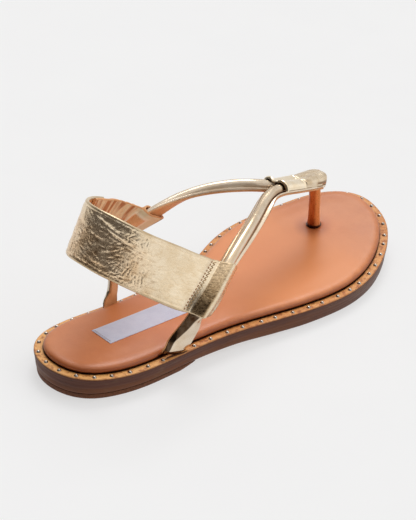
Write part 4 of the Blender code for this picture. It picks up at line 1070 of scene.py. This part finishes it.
def build_tab():
    half, below, above = (smooth(TAB_FOLD, k) for k in (1, 2, 3))
    ys = np.concatenate([np.linspace(183.0, 184, 9), np.linspace(184.4, 201, 44), np.linspace(201.3, 204.3, 18)])
    c, t, a, n = tab_frame(ys)
    r = 2 * np.pi * (np.arange(96) + 0.5) / 96
    rings, uvs = [], []
    for k, y in enumerate(ys):
        cs, sn = np.cos(r), np.sin(r)
        u = np.sign(cs) * abs(cs) ** 0.62 * half(y)
        v = np.sign(sn) * abs(sn) ** 0.62 * np.where(sn > 0, above(y), below(y))
        inner = ease(y, 191.0, 193.5) * (1 - ease(y, 200.5, 202.6))
        outer = abs(u) > half(y) * 0.5
        # a valley between the two cords under the leather, gone towards the end
        v = v - np.where(sn > 0, 0.75 * bell(u / 1.4), 0) * (1 - ease(y, 186, 198))
        v = v + np.where(sn > 0, 0.07 * np.sin(2 * np.pi * (y - 0.15 * u) / 1.5), 0) * bell((y - 197.5) / 3.0)
        # the fold's edge along each side, over a lip with small gathers
        groove = bell((v - 0.1 + 0.05 * (y - 195)) / 0.30) * outer
        u = u * (1 - 0.17 * groove * inner)
        lip = bell((v + 1.35) / 0.75) * outer
        gathers = 0.5 + 0.5 * np.sin(y * 2 * np.pi / 1.55 + 0.4 * np.sin(y))
        u = u + np.sign(u) * (0.16 + 0.30 * gathers) * lip * inner
        p = c[k] + a[k] * u[:, None] + n[k] * v[:, None]
        p += n[k] * (noise(p, 5.0, 8) * 0.02)[:, None]
        rings.append(p)
        uvs.append(np.column_stack([np.full(96, y), np.arange(96) * 0.35]))
    whole = Parts()
    v, f = tube(rings)
    whole.add(v, f, np.vstack(uvs))
    whole.build("tab_cap", LOOK["gold_cap"], "gold_leather", "upper", sharp=45)

    # the cut end of the cord's filler, showing at the corner of the fold
    ends = Parts()
    at, t0, a0, n0 = (q[0] for q in tab_frame(np.array([202.6])))
    away = unit(t0 * 0.2 + n0 * 0.85 + a0 * 0.15)
    e1 = unit(np.cross(away, a0))
    e2 = np.cross(away, e1)
    root = at + a0 * TAB_END[0] + n0 * TAB_END[1]
    ang = 2 * np.pi * np.arange(18) / 18
    rings = []
    for h, rad in ((-1.2, 0.95), (0.05, 0.95), (0.28, 0.88), (0.36, 0.66), (0.26, 0.36), (0.20, 0.12)):
        wob = 1 + 0.07 * noise(np.column_stack([np.cos(ang) * 2, np.sin(ang) * 2, np.full(18, h)]), 1.0, 4, 2)
        rings.append(root + away * h + (rad * wob)[:, None] * (np.cos(ang)[:, None] * e1 + np.sin(ang)[:, None] * e2))
    v, f = tube(rings)
    ends.add(v, f)
    ends.build("cord_filler_end", LOOK["lining"], "lining_tan", sharp=60)

    posts = Parts()
    table = [(-row[2],) + row for row in TOE_POST]
    fx, fy, fa, fb = (smooth(table, k) for k in (1, 2, 4, 5))
    zs = np.linspace(TOE_POST[0][2], TOE_POST[-1][2], 70)
    rings, uvs = [], []
    ang = 2 * np.pi * np.arange(56) / 56
    for z in zs:
        x, y, ra, rb = fx(-z), fy(-z), fa(-z), fb(-z)
        seam = 1 - 0.075 * bell(((ang - 1.5 * np.pi - 0.25 + np.pi) % (2 * np.pi) - np.pi) / 0.11)
        wob = 1 + 0.012 * noise(np.column_stack([np.cos(ang) * 3, np.sin(ang) * 3, np.full(56, z * 0.5)]), 1.6, 5, 2)
        rings.append(np.column_stack([x + ra * np.cos(ang) * seam * wob, y + rb * np.sin(ang) * seam * wob, np.full(56, z)]))
        uvs.append(np.column_stack([np.full(56, z), ang * 3.3]))
    v, f = tube(rings)
    posts.add(v, f, np.vstack(uvs))
    posts.build("toe_post_wrap", LOOK["gold_post"], "gold_leather", "upper", sharp=50)


def build_sleeve():
    rows = np.array(SLEEVE)
    k = np.arange(len(rows), dtype=float)
    table = np.column_stack([k, rows])
    fm, fl, fc, fw = (smooth([tuple(r) for r in table], j) for j in (1, 2, 3, 4))
    u = np.concatenate([np.linspace(0, 4, 25), np.linspace(4, 8, 22)[1:], np.linspace(8, 11, 19)[1:]])
    angles = np.radians(np.linspace(3, 127, 20))
    flat = FLAT + 0.05
    rings = []
    for q in u:
        both = []
        for grow in (fc(q), fc(q) + fw(q)):
            cw, ch = CORD_W / 2 + grow, CORD_H + grow
            halves = []
            for strap, y in ((LATERAL, fl(q)), (MEDIAL, fm(q))):
                s = np.interp(y, strap.y_fine[300:], strap.s_fine[300:])
                c, t, a, n = (z[0] for z in strap.frame(np.array([s])))
                a = a if a[0] * strap.side > 0 else -a
                halves.append(c + a * (cw * np.cos(angles))[:, None] + n * (flat + ch * np.sin(angles))[:, None])
            gap = np.linalg.norm(halves[0][-1] - halves[1][-1])
            join = (halves[0][-1] + halves[1][-1]) / 2
            both.append(np.vstack([halves[0][:-1], [join], halves[1][:-1][::-1]]))
        inner, outer = both
        mid = (inner + outer) / 2
        foot = []
        rings.append(np.vstack([outer, inner[::-1]]))
    verts, faces = tube(rings, cap=False)
    n = len(rings[0])
    h = n // 2
    for base in (0, (len(rings) - 1) * n):
        for k in range(h - 1):
            faces.append([base + k, base + k + 1, base + n - 2 - k, base + n - 1 - k])
    piece("keeper_sleeve", verts, faces, LOOK["metal"], "polished_metal", "sleeve", sharp=48)


# ------------------------------------------------------------------ footbed, label
def footbed_height(x, y):
    """Top of the footbed away from its rolled edge."""
    x, y = np.asarray(x, float), np.asarray(y, float)
    d = inset_of(np.column_stack([x, y]))
    z = WELT_TOP(y) + 4.1 + (FOOTBED_TOP - 4.1) * ease(d, 10.5, 20.0)
    z = z + 0.05 * noise(np.column_stack([x, y]), 23.0, 4, 2) * ease(d, 6, 14)
    r = np.hypot((x + 2.5), (y - 205.3))
    z = z - 0.75 * bell((r - 3.0) / 1.5) - 0.25 * bell(r / 9.0)
    return z


def build_footbed():
    side, across = 260, 64
    edge, length = spline(FOOTBED_EDGE)
    rows = edge(np.linspace(0, length, 26))
    p, out, at, total = outline(side)
    n = 2 * side
    rings = []
    for inset, height in rows:
        q = p - out * inset
        z = WELT_TOP(q[:, 1]) + height
        rings.append(np.column_stack([q, z]))
    rings = np.array(rings)
    verts, faces = tube(rings, cap=False)
    last = (len(rows) - 1) * n
    fill, more = paired_fill(rings[-1], footbed_height, across, len(verts), last)
    faces += more
    verts = np.vstack([verts, fill])
    fill, more = paired_fill(rings[0], lambda x, y: WELT_TOP(y) + 0.05, 4, len(verts), 0)
    faces += more
    verts = np.vstack([verts, fill])
    # the pad gives way to the straps' bases, less so just beside them
    for strap in (LATERAL, MEDIAL):
        s = np.linspace(-1.0, 12.0, 27)
        c, t, a, nrm, _, heel, toe, _ = strap_shape(strap, s)
        near = np.where(np.linalg.norm(verts[:, :2] - c[4, :2], axis=1) < 26)[0]
        q = verts[near]
        k = np.argmin(((q[:, None, :] - c[None]) @ np.eye(3) * t[None]).sum(-1) ** 2, axis=1)
        rel = q - c[k]
        u, v = (rel * a[k]).sum(-1), (rel * nrm[k]).sum(-1)
        over = np.maximum(u - heel[k], -u - toe[k])
        limit = -HALF - 0.15 + np.maximum(over - 0.2, 0) * 4.0
        push = np.maximum(v - limit, 0)
        push = np.where(push > 6, 0, push)
        flat = nrm[k].copy()
        flat[:, 2] = 0
        verts[near] -= unit(flat) * push[:, None]
    uv = np.column_stack([inset_of(verts[:, :2]), np.full(len(verts), 4.3)])
    uv[:len(rows) * n, 1] = np.repeat(rows[:, 1], n)
    pad = piece("footbed_pad", verts, faces, LOOK["footbed"], "footbed_tan", "footbed", uv=uv, sharp=60)
    return pad


def build_label():
    (x0, y0), (x1, y1), width = LABEL
    start, end = np.array([x0, y0]), np.array([x1, y1])
    d = unit(end - start)
    w = np.array([d[1], -d[0]])
    length = float(np.linalg.norm(end - start))
    nu, nv = 60, 22
    u, v = np.meshgrid(np.linspace(0, length, nu), np.linspace(-width / 2, width / 2, nv), indexing="ij")
    corner = np.minimum(np.minimum(u, length - u), width / 2 - abs(v))
    xy = start + d * u[..., None] + w * v[..., None]
    base = footbed_height(xy[..., 0].ravel(), xy[..., 1].ravel()).reshape(u.shape)
    lift = 0.10 + 0.26 * ease(corner, -0.2, 0.9) + 0.10 * noise(np.stack([u, v], -1), 11.0, 6, 2) * ease(corner, 0, 3)
    top = np.concatenate([xy, (base + lift + 0.12)[..., None]], -1)
    low = np.concatenate([xy, (base + 0.0)[..., None]], -1)
    verts = np.vstack([top.reshape(-1, 3), low.reshape(-1, 3)])
    faces = grid(nu, nv)
    faces += [list(reversed(f)) for f in grid(nu, nv, nu * nv)]
    rim = [i * nv for i in range(nu)] + [(nu - 1) * nv + j for j in range(1, nv)]
    rim += [i * nv + nv - 1 for i in reversed(range(nu - 1))] + [j for j in reversed(range(1, nv - 1))]
    m = nu * nv
    for a, b in zip(rim, rim[1:] + rim[:1]):
        faces.append([a, b, b + m, a + m])
    uv = np.stack([u, v], -1).reshape(-1, 2)
    label = piece("woven_label", verts, faces, LOOK["label"], "label_cloth", uv=np.vstack([uv, uv]), sharp=70)
    runs, ups = [], []
    for at in (1.1, length - 1.1):
        for k in range(9):
            v0 = -width / 2 + 1.0 + k * (width - 2.0) / 9
            pts = []
            for vv in (v0 + 0.15, v0 + 1.15):
                q = start + d * at + w * vv
                pts.append([q[0], q[1], float(footbed_height([q[0]], [q[1]])[0]) + 0.50])
            runs.append(pts)
            ups.append([0, 0, 1])
    v, f = thread_run(runs, ups, 0.16)
    piece("label_stitches", v, f, LOOK["thread_grey"], "thread", sharp=60)


# ------------------------------------------------------------------ heel band
BAND_SHARES = [r[0] for r in BAND]
LOW_AT = spline([r[1:4] for r in BAND])[0]
UP_AT = spline([r[4:7] for r in BAND])[0]


def band_point(t, v):
    a = LOW_AT(np.interp(t, BAND_SHARES, LOW_AT.knots))
    b = UP_AT(np.interp(t, BAND_SHARES, UP_AT.knots))
    return a + (b - a) * np.asarray(v, float)[..., None]


def band_normal(t, v):
    along = band_point(t + 0.01, v) - band_point(t - 0.01, v)
    across = band_point(t, np.ones_like(t)) - band_point(t, np.zeros_like(t))
    return unit(np.cross(across, along))


class Looped:
    """A strip that leaves a loop round one strap and follows the band's surface."""

    def __init__(self, strap, ends, shares, offset, thick, relief, rows=57, steps=330, ring=46, skin=None):
        shares = np.array(shares, float)
        s0, s1 = strap.station(ends[0]), strap.station(ends[1])
        edge = (thick / 2) / 30.0
        vs = np.linspace(edge, 1 - edge, rows)
        self.vs, self.thick, self.rows, self.steps, self.ring = vs, thick, rows, steps, ring
        mid, share, walls, holes, ups = [], [], [], [], []
        for v in vs:
            c, t, a, n = (z[0] for z in strap.frame(np.array([s0 + (s1 - s0) * v])))
            a = -a if a[1] < 0 else a
            vv = np.full(len(shares), v)
            middle = band_point(shares, vv) + band_normal(shares, vv) * offset(shares)[:, None]
            d = c - middle[0]
            a = a + t * ((d @ t) / (d @ a))
            level = min(max(0.35 * float((middle[0] - c) @ n), 0.0), 1.4)
            front = [5.0 + (r[0] - 5.0) * (0.74 - 0.54 * v) if r[0] > 5.2 else r[0] for r in LOOP]
            wall = np.array([c + a * u + n * r[1] for u, r in zip(front, LOOP)])
            hole = np.array([c + a * r[2] + n * r[3] for r in LOOP])
            root = c + a * LOOP[0][0] + n * level
            wall[0], wall[-1] = root + n * thick / 2, root - n * thick / 2
            wall[1] = c + a * LOOP[1][0] + n * max(LOOP[1][1], level + 1.4)
            at, length = spline(np.vstack([root, middle]))
            q = np.linspace(0, length, steps + 1)
            mid.append(at(q))
            share.append(np.interp(q, at.knots, np.concatenate([[shares[0] + (shares[0] - shares[1]) * 0.1], shares])))
            wa, wl = spline(wall)
            ha, hl = spline(hole)
            walls.append(wa(np.linspace(0, wl, ring)))
            holes.append(ha(np.linspace(0, hl, ring)))
            ups.append(n)
        mid, share = np.array(mid), np.array(share)
        self.arc = np.concatenate([[0], np.cumsum(np.linalg.norm(np.diff(mid[rows // 2], axis=0), axis=1))])
        self.share = share
        walls, holes, ups = np.array(walls), np.array(holes), np.array(ups)
        norm = self.normals(mid, ups)
        vv = np.tile(vs[:, None], (1, steps + 1))
        mid = mid + norm * relief(share, vv, self.arc[None, :])[..., None]
        norm = self.normals(mid, ups)
        extra = 0.0 if skin is None else skin(share, vv, self.arc[None, :])[..., None]
        self.outer = mid + norm * (thick / 2 + extra)
        self.inner = mid - norm * thick / 2
        self.wall_len = float(np.linalg.norm(np.diff(walls[rows // 2], axis=0), axis=1).sum())
        self.outer[:, 0], self.inner[:, 0] = walls[:, 0], walls[:, -1]
        self.norm, self.walls, self.holes, self.mid = norm, walls, holes, mid

    def normals(self, mid, ups):
        across = np.gradient(mid, axis=0)
        along = np.gradient(mid, axis=1)
        n = unit(np.cross(across, along))
        sign = np.sign((n[:, 4] * ups).sum(-1)).mean()
        return n * (1.0 if sign >= 0 else -1.0)

    def build(self, name, mats, slot, replaces, bulge=5, sharp=50):
        rows, steps, ring = self.rows, self.steps, self.ring
        strip = np.concatenate([self.outer[:, :0:-1], self.walls, self.inner[:, 1:]], axis=1)
        cols = strip.shape[1]
        wall_len = np.concatenate([[0], np.cumsum(np.linalg.norm(np.diff(self.walls[rows // 2], axis=0), axis=1))])
        u = np.concatenate([self.arc[:0:-1], -wall_len, -wall_len[-1] - self.arc[1:]])
        uv = [np.stack(np.meshgrid(self.vs * 30.0, u, indexing="ij")[::-1], -1).reshape(-1, 2)]
        verts, faces, index = [strip.reshape(-1, 3)], grid(rows, cols), []
        for f in faces:
            c = f[0] % cols
            index.append(0 if c < steps + int(ring * 0.62) else 1)
        start = rows * cols
        verts.append(self.holes.reshape(-1, 3))
        uv.append(np.stack(np.meshgrid(self.vs * 30.0, np.arange(ring) * 0.7, indexing="ij")[::-1], -1).reshape(-1, 2))
        more = grid(rows, ring, start, wrap_cols=True)
        faces += more
        index += [1] * len(more)
        count = start + rows * ring
        o = lambda k, j: k * cols + (steps - j)
        w = lambda k, i: k * cols + steps + i
        i_ = lambda k, j: k * cols + steps + ring - 1 + j
        h = lambda k, i: start + k * ring + i
        # cut end
        for k in range(rows - 1):
            faces.append([o(k, steps), o(k + 1, steps), i_(k + 1, steps), i_(k, steps)])
            index.append(2)
        phi = np.pi * np.arange(1, bulge + 1) / (bulge + 1)
        for k, inward in ((0, 1), (rows - 1, rows - 2)):
            p, q = self.outer[k], self.inner[k]
            out = unit(self.mid[k] - self.mid[inward])
            out[0] = out[1]
            middle, half = (p + q) / 2, (p - q) / 2
            r = np.linalg.norm(half, axis=1)[:, None]
            band = middle[:, None] + half[:, None] * np.cos(phi)[None, :, None] + (out * r)[:, None] * np.sin(phi)[None, :, None]
            p, q = self.walls[k], self.holes[k]
            out = unit(self.walls[k] - self.walls[inward])
            middle, half = (p + q) / 2, (p - q) / 2
            r = np.linalg.norm(half, axis=1)[:, None]
            loop = middle[:, None] + half[:, None] * np.cos(phi)[None, :, None] + (out * r)[:, None] * np.sin(phi)[None, :, None]
            b0 = count
            verts.append(band.reshape(-1, 3))
            uv.append(np.stack(np.meshgrid(self.arc, self.vs[k] * 30 + np.arange(bulge) * 0.5, indexing="ij"), -1).reshape(-1, 2))
            count += len(band) * bulge
            l0 = count
            verts.append(loop.reshape(-1, 3))
            uv.append(np.stack(np.meshgrid(-wall_len, self.vs[k] * 30 + np.arange(bulge) * 0.5, indexing="ij"), -1).reshape(-1, 2))
            count += len(loop) * bulge
            column = lambda j: [o(k, j)] + [b0 + j * bulge + m for m in range(bulge)] + [i_(k, j) if j else w(k, ring - 1)]
            ringcol = lambda i: [w(k, i)] + [l0 + i * bulge + m for m in range(bulge)] + [h(k, i)]
            for get, total in ((column, steps), (ringcol, ring - 1)):
                cols_list = [get(j) for j in range(total + 1)]
                for one, two in zip(cols_list, cols_list[1:]):
                    for m in range(bulge + 1):
                        faces.append([one[m], one[m + 1], two[m + 1], two[m]])
                        index.append(2)
            c0, first, last = column(0), ringcol(0), ringcol(ring - 1)
            faces.append(c0 + last[1:] + list(reversed(first))[:-1])
            index.append(2)
            faces.append([c for c in column(steps)])
            index.append(2)
        return piece(name, np.vstack(verts), faces, mats, slot, replaces, index=index, uv=np.vstack(uv), sharp=sharp)

    def at(self, arc, v, lift=0.0, inside=False):
        """Point and outward direction on the strip's outer (or inner) face."""
        j = float(np.interp(arc, self.arc, np.arange(self.steps + 1)))
        k = float(np.interp(v, self.vs, np.arange(self.rows)))
        j0, k0 = min(int(j), self.steps - 1), min(int(k), self.rows - 2)
        fj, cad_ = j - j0, k - k0
        face = self.inner if inside else self.outer

        def mixed(arr):
            return ((arr[k0, j0] * (1 - fj) + arr[k0, j0 + 1] * fj) * (1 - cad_)
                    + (arr[k0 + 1, j0] * (1 - fj) + arr[k0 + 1, j0 + 1] * fj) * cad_)
        n = unit(mixed(self.norm)) * (-1 if inside else 1)
        return mixed(face) + n * lift, n

    def arc_of(self, share):
        row = self.share[self.rows // 2]
        order = np.argsort(row)
        return float(np.interp(share, row[order], self.arc[order]))


# creases of the band: from and to (share, height), width and depth in millimetres
CREASES = (
    (0.50, 0.88, 0.34, 0.83, 0.8, 0.30),
    (0.43, 0.84, 0.192, 0.775, 0.7, 0.34),
    (0.37, 0.73, 0.15, 0.675, 0.75, 0.36),
    (0.31, 0.665, 0.134, 0.60, 0.7, 0.26),
    (0.354, 0.86, 0.232, 0.82, 0.7, 0.26),
    (0.40, 0.76, 0.27, 0.715, 0.6, 0.26),
    (0.50, 0.60, 0.354, 0.55, 0.9, 0.26),
    (0.446, 0.17, 0.296, 0.17, 0.9, 0.24),
    (0.236, 0.03, 0.20, 0.42, 0.7, 0.11),
    (0.186, 0.05, 0.166, 0.36, 0.7, 0.10),
    (0.282, 0.07, 0.246, 0.40, 0.7, 0.10),
    (0.38, 0.30, 0.30, 0.44, 0.8, 0.20),
    (0.55, 0.62, 0.72, 0.70, 1.4, 0.30),
    (0.58, 0.40, 0.70, 0.30, 1.5, 0.26),
    (0.66, 0.80, 0.80, 0.62, 1.2, 0.26),
    (0.70, 0.22, 0.82, 0.44, 1.4, 0.26),
    (0.62, 0.12, 0.76, 0.16, 1.2, 0.18),
)


def crease_field(share, v, arc, rows, scale=178.0):
    x, y = share * scale, v * 30.0
    out = np.zeros(np.broadcast(x, y).shape)
    for t0, v0, t1, v1, width, depth in rows:
        a, b = np.array([t0 * scale, v0 * 30]), np.array([t1 * scale, v1 * 30])
        ab = b - a
        long = np.linalg.norm(ab)
        w = ((x - a[0]) * ab[0] + (y - a[1]) * ab[1]) / long**2
        wc = np.clip(w, 0, 1)
        bow = min(0.10 * long, 1.6) * np.sin(np.pi * wc) * (0.5 if depth > 0.2 else -0.5)
        nx, ny = -ab[1] / long, ab[0] / long
        px, py = a[0] + ab[0] * wc + nx * bow, a[1] + ab[1] * wc + ny * bow
        d = np.hypot(x - px, y - py)
        taper = np.clip(np.sin(np.pi * np.clip(wc, 0.02, 0.98)), 0, 1) ** 0.6
        out = out + taper * depth * (-bell(d / width) + 0.55 * bell((d - 1.9 * width) / (1.1 * width)))
    return out


def random_creases(seed, count, low, high, v_low, v_high, long, depth, crossed=0.0):
    rng = np.random.default_rng(seed)
    rows = []
    for _ in range(count):
        t, v = rng.uniform(low, high), rng.uniform(v_low, v_high)
        angle = rng.normal(-0.15, 0.30) if rng.uniform() > crossed else rng.normal(1.1, 0.3)
        length = rng.uniform(*long)
        dt, dv = math.cos(angle) * length / 178.0, math.sin(angle) * length / 30.0
        rows.append((t - dt / 2, v - dv / 2, t + dt / 2, v + dv / 2, rng.uniform(0.38, 0.62), rng.uniform(*depth)))
    return rows


def build_band():
    inner = [r[0] for r in BAND if BAND_START < r[0] < LEATHER_END - 0.01]
    small = random_creases(17, 290, 0.13, 0.50, 0.04, 0.96, (2.0, 7.0), (0.05, 0.12), 0.28)
    small += random_creases(23, 40, 0.03, 0.20, 0.06, 0.94, (4.0, 12.0), (0.02, 0.05), 0.1)
    small += random_creases(29, 70, 0.46, 0.86, 0.06, 0.94, (4.0, 14.0), (0.04, 0.11), 0.3)

    def relief(share, v, arc):
        hold = ease(arc, 6.0, 14.0) * (1 - ease(share, 0.845, 0.866))
        rim = ease(np.minimum(v, 1 - v), 0.015, 0.10)
        broad = noise(np.stack([share * 178 / 13.0, v * 30 / 9.0], -1), 1.0, 12, 2) * 0.22
        dip = -0.75 * bell((arc - 3.0) / 2.2) * ease(arc, 0.0, 1.5)
        return (0.62 * crease_field(share, v, arc, CREASES) + broad) * hold * rim + dip

    def skin(share, v, arc):
        hold = ease(arc, 3.0, 10.0) * (1 - ease(share, 0.845, 0.866))
        rim = ease(np.minimum(v, 1 - v), 0.01, 0.07)
        out = crease_field(share, v, arc, small)
        out = out + noise(np.stack([share * 178 * 0.6, v * 30], -1), 1.7, 33, 2) * 0.05 * (0.25 + 0.75 * ease(share, 0.12, 0.22))
        # bound edge: a soft valley inside the rolled rim
        edge = np.minimum(v, 1 - v) * 30.0
        out = out * hold * rim - 0.14 * bell((edge - 2.1) / 0.5) * ease(arc, 2, 8) * (1 - ease(share, 0.85, 0.868))
        return out

    band = Looped(LATERAL, LATERAL_LOOP, [BAND_START] + inner + [LEATHER_END],
                  lambda t: np.full(len(t), -BAND_T / 2), BAND_T, relief, rows=75, steps=410, skin=skin)
    band.build("heel_band_leather", [LOOK["gold_band"], LOOK["lining"], LOOK["gold_rim"]], "band_leather", "heel_band")

    deep = BAND_T + GAP + 0.1 + GORE_T / 2

    def gore_offset(t):
        return -deep + (deep - GORE_T / 2) * ease(t, LEATHER_END + 0.004, LEATHER_END + 0.054)

    def gore_relief(share, v, arc):
        arc = arc + 0 * share
        gathers = 0.34 * np.sin(2 * np.pi * (arc + 1.2 * noise(np.stack([v * 3.0, arc * 0.2], -1), 1.0, 3)) / 4.1)
        gathers = gathers * ease(arc, 3.0, 6.0) * (1 - ease(arc, 15.0, 19.0))
        return 0.07 * noise(np.stack([share * 178 / 9.0, v * 30 / 6.0], -1), 1.0, 19, 2) * ease(arc, 5, 10) + gathers

    gore_shares = [GORE_END, 0.94, 0.92, 0.905, 0.89, LEATHER_END, 0.84, 0.807, GORE_START]
    gore = Looped(MEDIAL, MEDIAL_LOOP, gore_shares, gore_offset, GORE_T, gore_relief, rows=47, steps=110)
    back = gore_back("gore_back_leather", gore.wall_len)
    gore.build("elastic_gore_loop", [LOOK["elastic"], back, LOOK["lining"]], "gold_elastic", "elastic_gore")
    return band, gore


def build_stitches(band, gore):
    gold, tan = Parts(), Parts()

    def zigzag(strip, arc_at, rise, pitch, wide, where, lift=0.12, inside=False, low=0.05, high=0.95, thread=0.22):
        runs, ups = [], []
        span = (high - low) * 30.0
        count = int(span / pitch)
        for k in range(count):
            for m in range(2):
                v0 = low + (high - low) * (k + 0.5 * m) / count
                v1 = low + (high - low) * (k + 0.5 * m + 0.5) / count
                sgn = 1 if m == 0 else -1
                p, n = strip.at(arc_at(v0) - sgn * wide / 2, v0, lift, inside)
                q, n2 = strip.at(arc_at(v1) + sgn * wide / 2, v1, lift, inside)
                runs.append((p, q))
                ups.append(n + n2)
        v, f = thread_run(runs, ups, thread)
        where.add(v, f)

    def running(strip, arc_at, where, pitch=2.3, lift=0.10, inside=False, low=0.06, high=0.94):
        runs, ups = [], []
        count = int((high - low) * 30.0 / pitch)
        for k in range(count):
            v0, v1 = (low + (high - low) * (k + e) / count for e in (0.14, 0.86))
            p, n = strip.at(arc_at(v0), v0, lift, inside)
            q, n2 = strip.at(arc_at(v1), v1, lift, inside)
            runs.append((p, q))
            ups.append(n + n2)
        v, f = thread_run(runs, ups, 0.26)
        where.add(v, f)

    zigzag(band, lambda v: 1.5, 0, 1.75, 1.7, gold, lift=0.06, thread=0.20)
    running(band, lambda v: 3.5, tan, pitch=1.75, lift=0.02, low=0.03, high=0.97)
    zigzag(band, lambda v: 3.6, 0, 1.7, 3.0, tan, inside=True)
    for shift in (0.0, 3.9):
        zigzag(band, lambda v, s=shift: band.arc_of(0.770 + 0.06 * v) + s, 0, 1.7, 3.0, gold)
        zigzag(band, lambda v, s=shift: band.arc_of(0.770 + 0.06 * v) + s, 0, 1.7, 3.0, tan, inside=True)
    running(gore, lambda v: 7.0, gold)
    gold.build("band_stitches", LOOK["thread_gold"], "thread", sharp=60)
    tan.build("lining_stitches", LOOK["thread_tan"], "thread", sharp=60)


# ------------------------------------------------------------------ the stage
def build_stage():
    bpy.ops.mesh.primitive_plane_add(size=60.0, location=(0, 0, 0))
    floor = bpy.context.object
    floor.name = "studio_floor"
    floor.data.materials.append(LOOK["floor"])

    world = bpy.data.worlds.new("studio")
    bpy.context.scene.world = world
    world.use_nodes = True
    tree = world.node_tree
    back = tree.nodes["Background"]
    coord = tree.nodes.new("ShaderNodeTexCoord")

    def side_light(direction, low, high):
        """0 to 1 as a direction turns towards one side of the room."""
        dot = tree.nodes.new("ShaderNodeVectorMath")
        dot.operation = "DOT_PRODUCT"
        dot.inputs[1].default_value = direction
        tree.links.new(coord.outputs["Generated"], dot.inputs[0])
        ramp = tree.nodes.new("ShaderNodeMapRange")
        ramp.interpolation_type = "SMOOTHSTEP"
        ramp.inputs["From Min"].default_value, ramp.inputs["From Max"].default_value = low, high
        tree.links.new(dot.outputs["Value"], ramp.inputs["Value"])
        return ramp.outputs[0]

    def joined(operation, one, two):
        node = tree.nodes.new("ShaderNodeMath")
        node.operation = operation
        for socket, value in zip(node.inputs, (one, two)):
            if isinstance(value, float):
                socket.default_value = value
            else:
                tree.links.new(value, socket)
        return node.outputs[0]

    # a soft light overhead, a white wall at the toe's side, a dark room behind the heel
    wall = side_light((0.0, 1.0, 0.0), -0.10, 0.16)
    above = side_light((-0.05, 0.33, 0.94), 0.66, 0.86)
    right = side_light((0.90, 0.42, 0.10), 0.45, 0.85)
    strength = joined("ADD", joined("MULTIPLY", wall, WALL_LIGHT),
                      joined("MULTIPLY", joined("MULTIPLY", right, wall), RIGHT_LIGHT))
    strength = joined("MAXIMUM", strength, joined("MULTIPLY", above, ABOVE_LIGHT))
    blend = tree.nodes.new("ShaderNodeMix")
    blend.data_type = "RGBA"
    blend.inputs[6].default_value, blend.inputs[7].default_value = (*DARK_ROOM, 1.0), (1.0, 0.995, 0.985, 1.0)
    tree.links.new(joined("MINIMUM", strength, 1.0), blend.inputs[0])
    tree.links.new(blend.outputs[2], back.inputs["Color"])
    tree.links.new(joined("MAXIMUM", strength, 1.0), back.inputs["Strength"])

    sun = bpy.data.lights.new("softbox", "SUN")
    sun.energy, sun.angle = 0.85, 0.5
    lamp = bpy.data.objects.new("softbox", sun)
    lamp.rotation_euler = Vector((-0.36, 0.48, 0.80)).to_track_quat("Z", "Y").to_euler()
    bpy.context.scene.collection.objects.link(lamp)


def build_camera():
    """From the outer heel quarter, a little above, rolled under a degree."""
    az, el, roll, dist = 0.7677530755, 0.4159080595, 0.0148987099, 1101.0691892
    f, u0, v0 = math.exp(7.150673991758947), 269.9569069, 423.7781438
    back = np.array([math.sin(az) * math.cos(el), -math.cos(az) * math.cos(el), math.sin(el)])
    right = np.array([math.cos(az), math.sin(az), 0.0])
    up = np.cross(back, right)
    r2 = math.cos(roll) * right + math.sin(roll) * up
    u2 = -math.sin(roll) * right + math.cos(roll) * up
    eye = np.array([0, 125.0, 0]) - (u0 - 208) * dist / f * r2 + (v0 - 260) * dist / f * u2 + dist * back
    aim = np.array(CAMERA_AIM)
    look = unit(eye - aim)
    side = unit(np.cross(u2, look))
    top = np.cross(look, side)
    m = np.eye(4)
    m[:3, 0], m[:3, 1], m[:3, 2], m[:3, 3] = side, top, look, place(eye)
    data = bpy.data.cameras.new("camera")
    data.sensor_fit, data.sensor_height, data.lens = "VERTICAL", 36.0, f * CAMERA_ZOOM * 36.0 / 520.0
    data.clip_start, data.clip_end = 0.01, 100.0
    cam = bpy.data.objects.new("camera", data)
    cam.matrix_world = Matrix(m.tolist())
    bpy.context.scene.collection.objects.link(cam)
    bpy.context.scene.camera = cam


WALL_LIGHT, RIGHT_LIGHT, ABOVE_LIGHT = 0.74, 0.26, 1.15
DARK_ROOM = (0.100, 0.088, 0.080)
CAMERA_AIM = (5.0, 108.0, 34.0)
CAMERA_ZOOM = 1.62

build_sole()
build_lift()
build_welt()
build_studs()
build_straps()
build_tab()
build_sleeve()
build_footbed()
build_label()
band, gore = build_band()
build_stitches(band, gore)
build_stage()
build_camera()

settings = bpy.context.scene.view_settings
settings.view_transform, settings.look, settings.exposure, settings.gamma = "Standard", "None", 0.0, 1.0
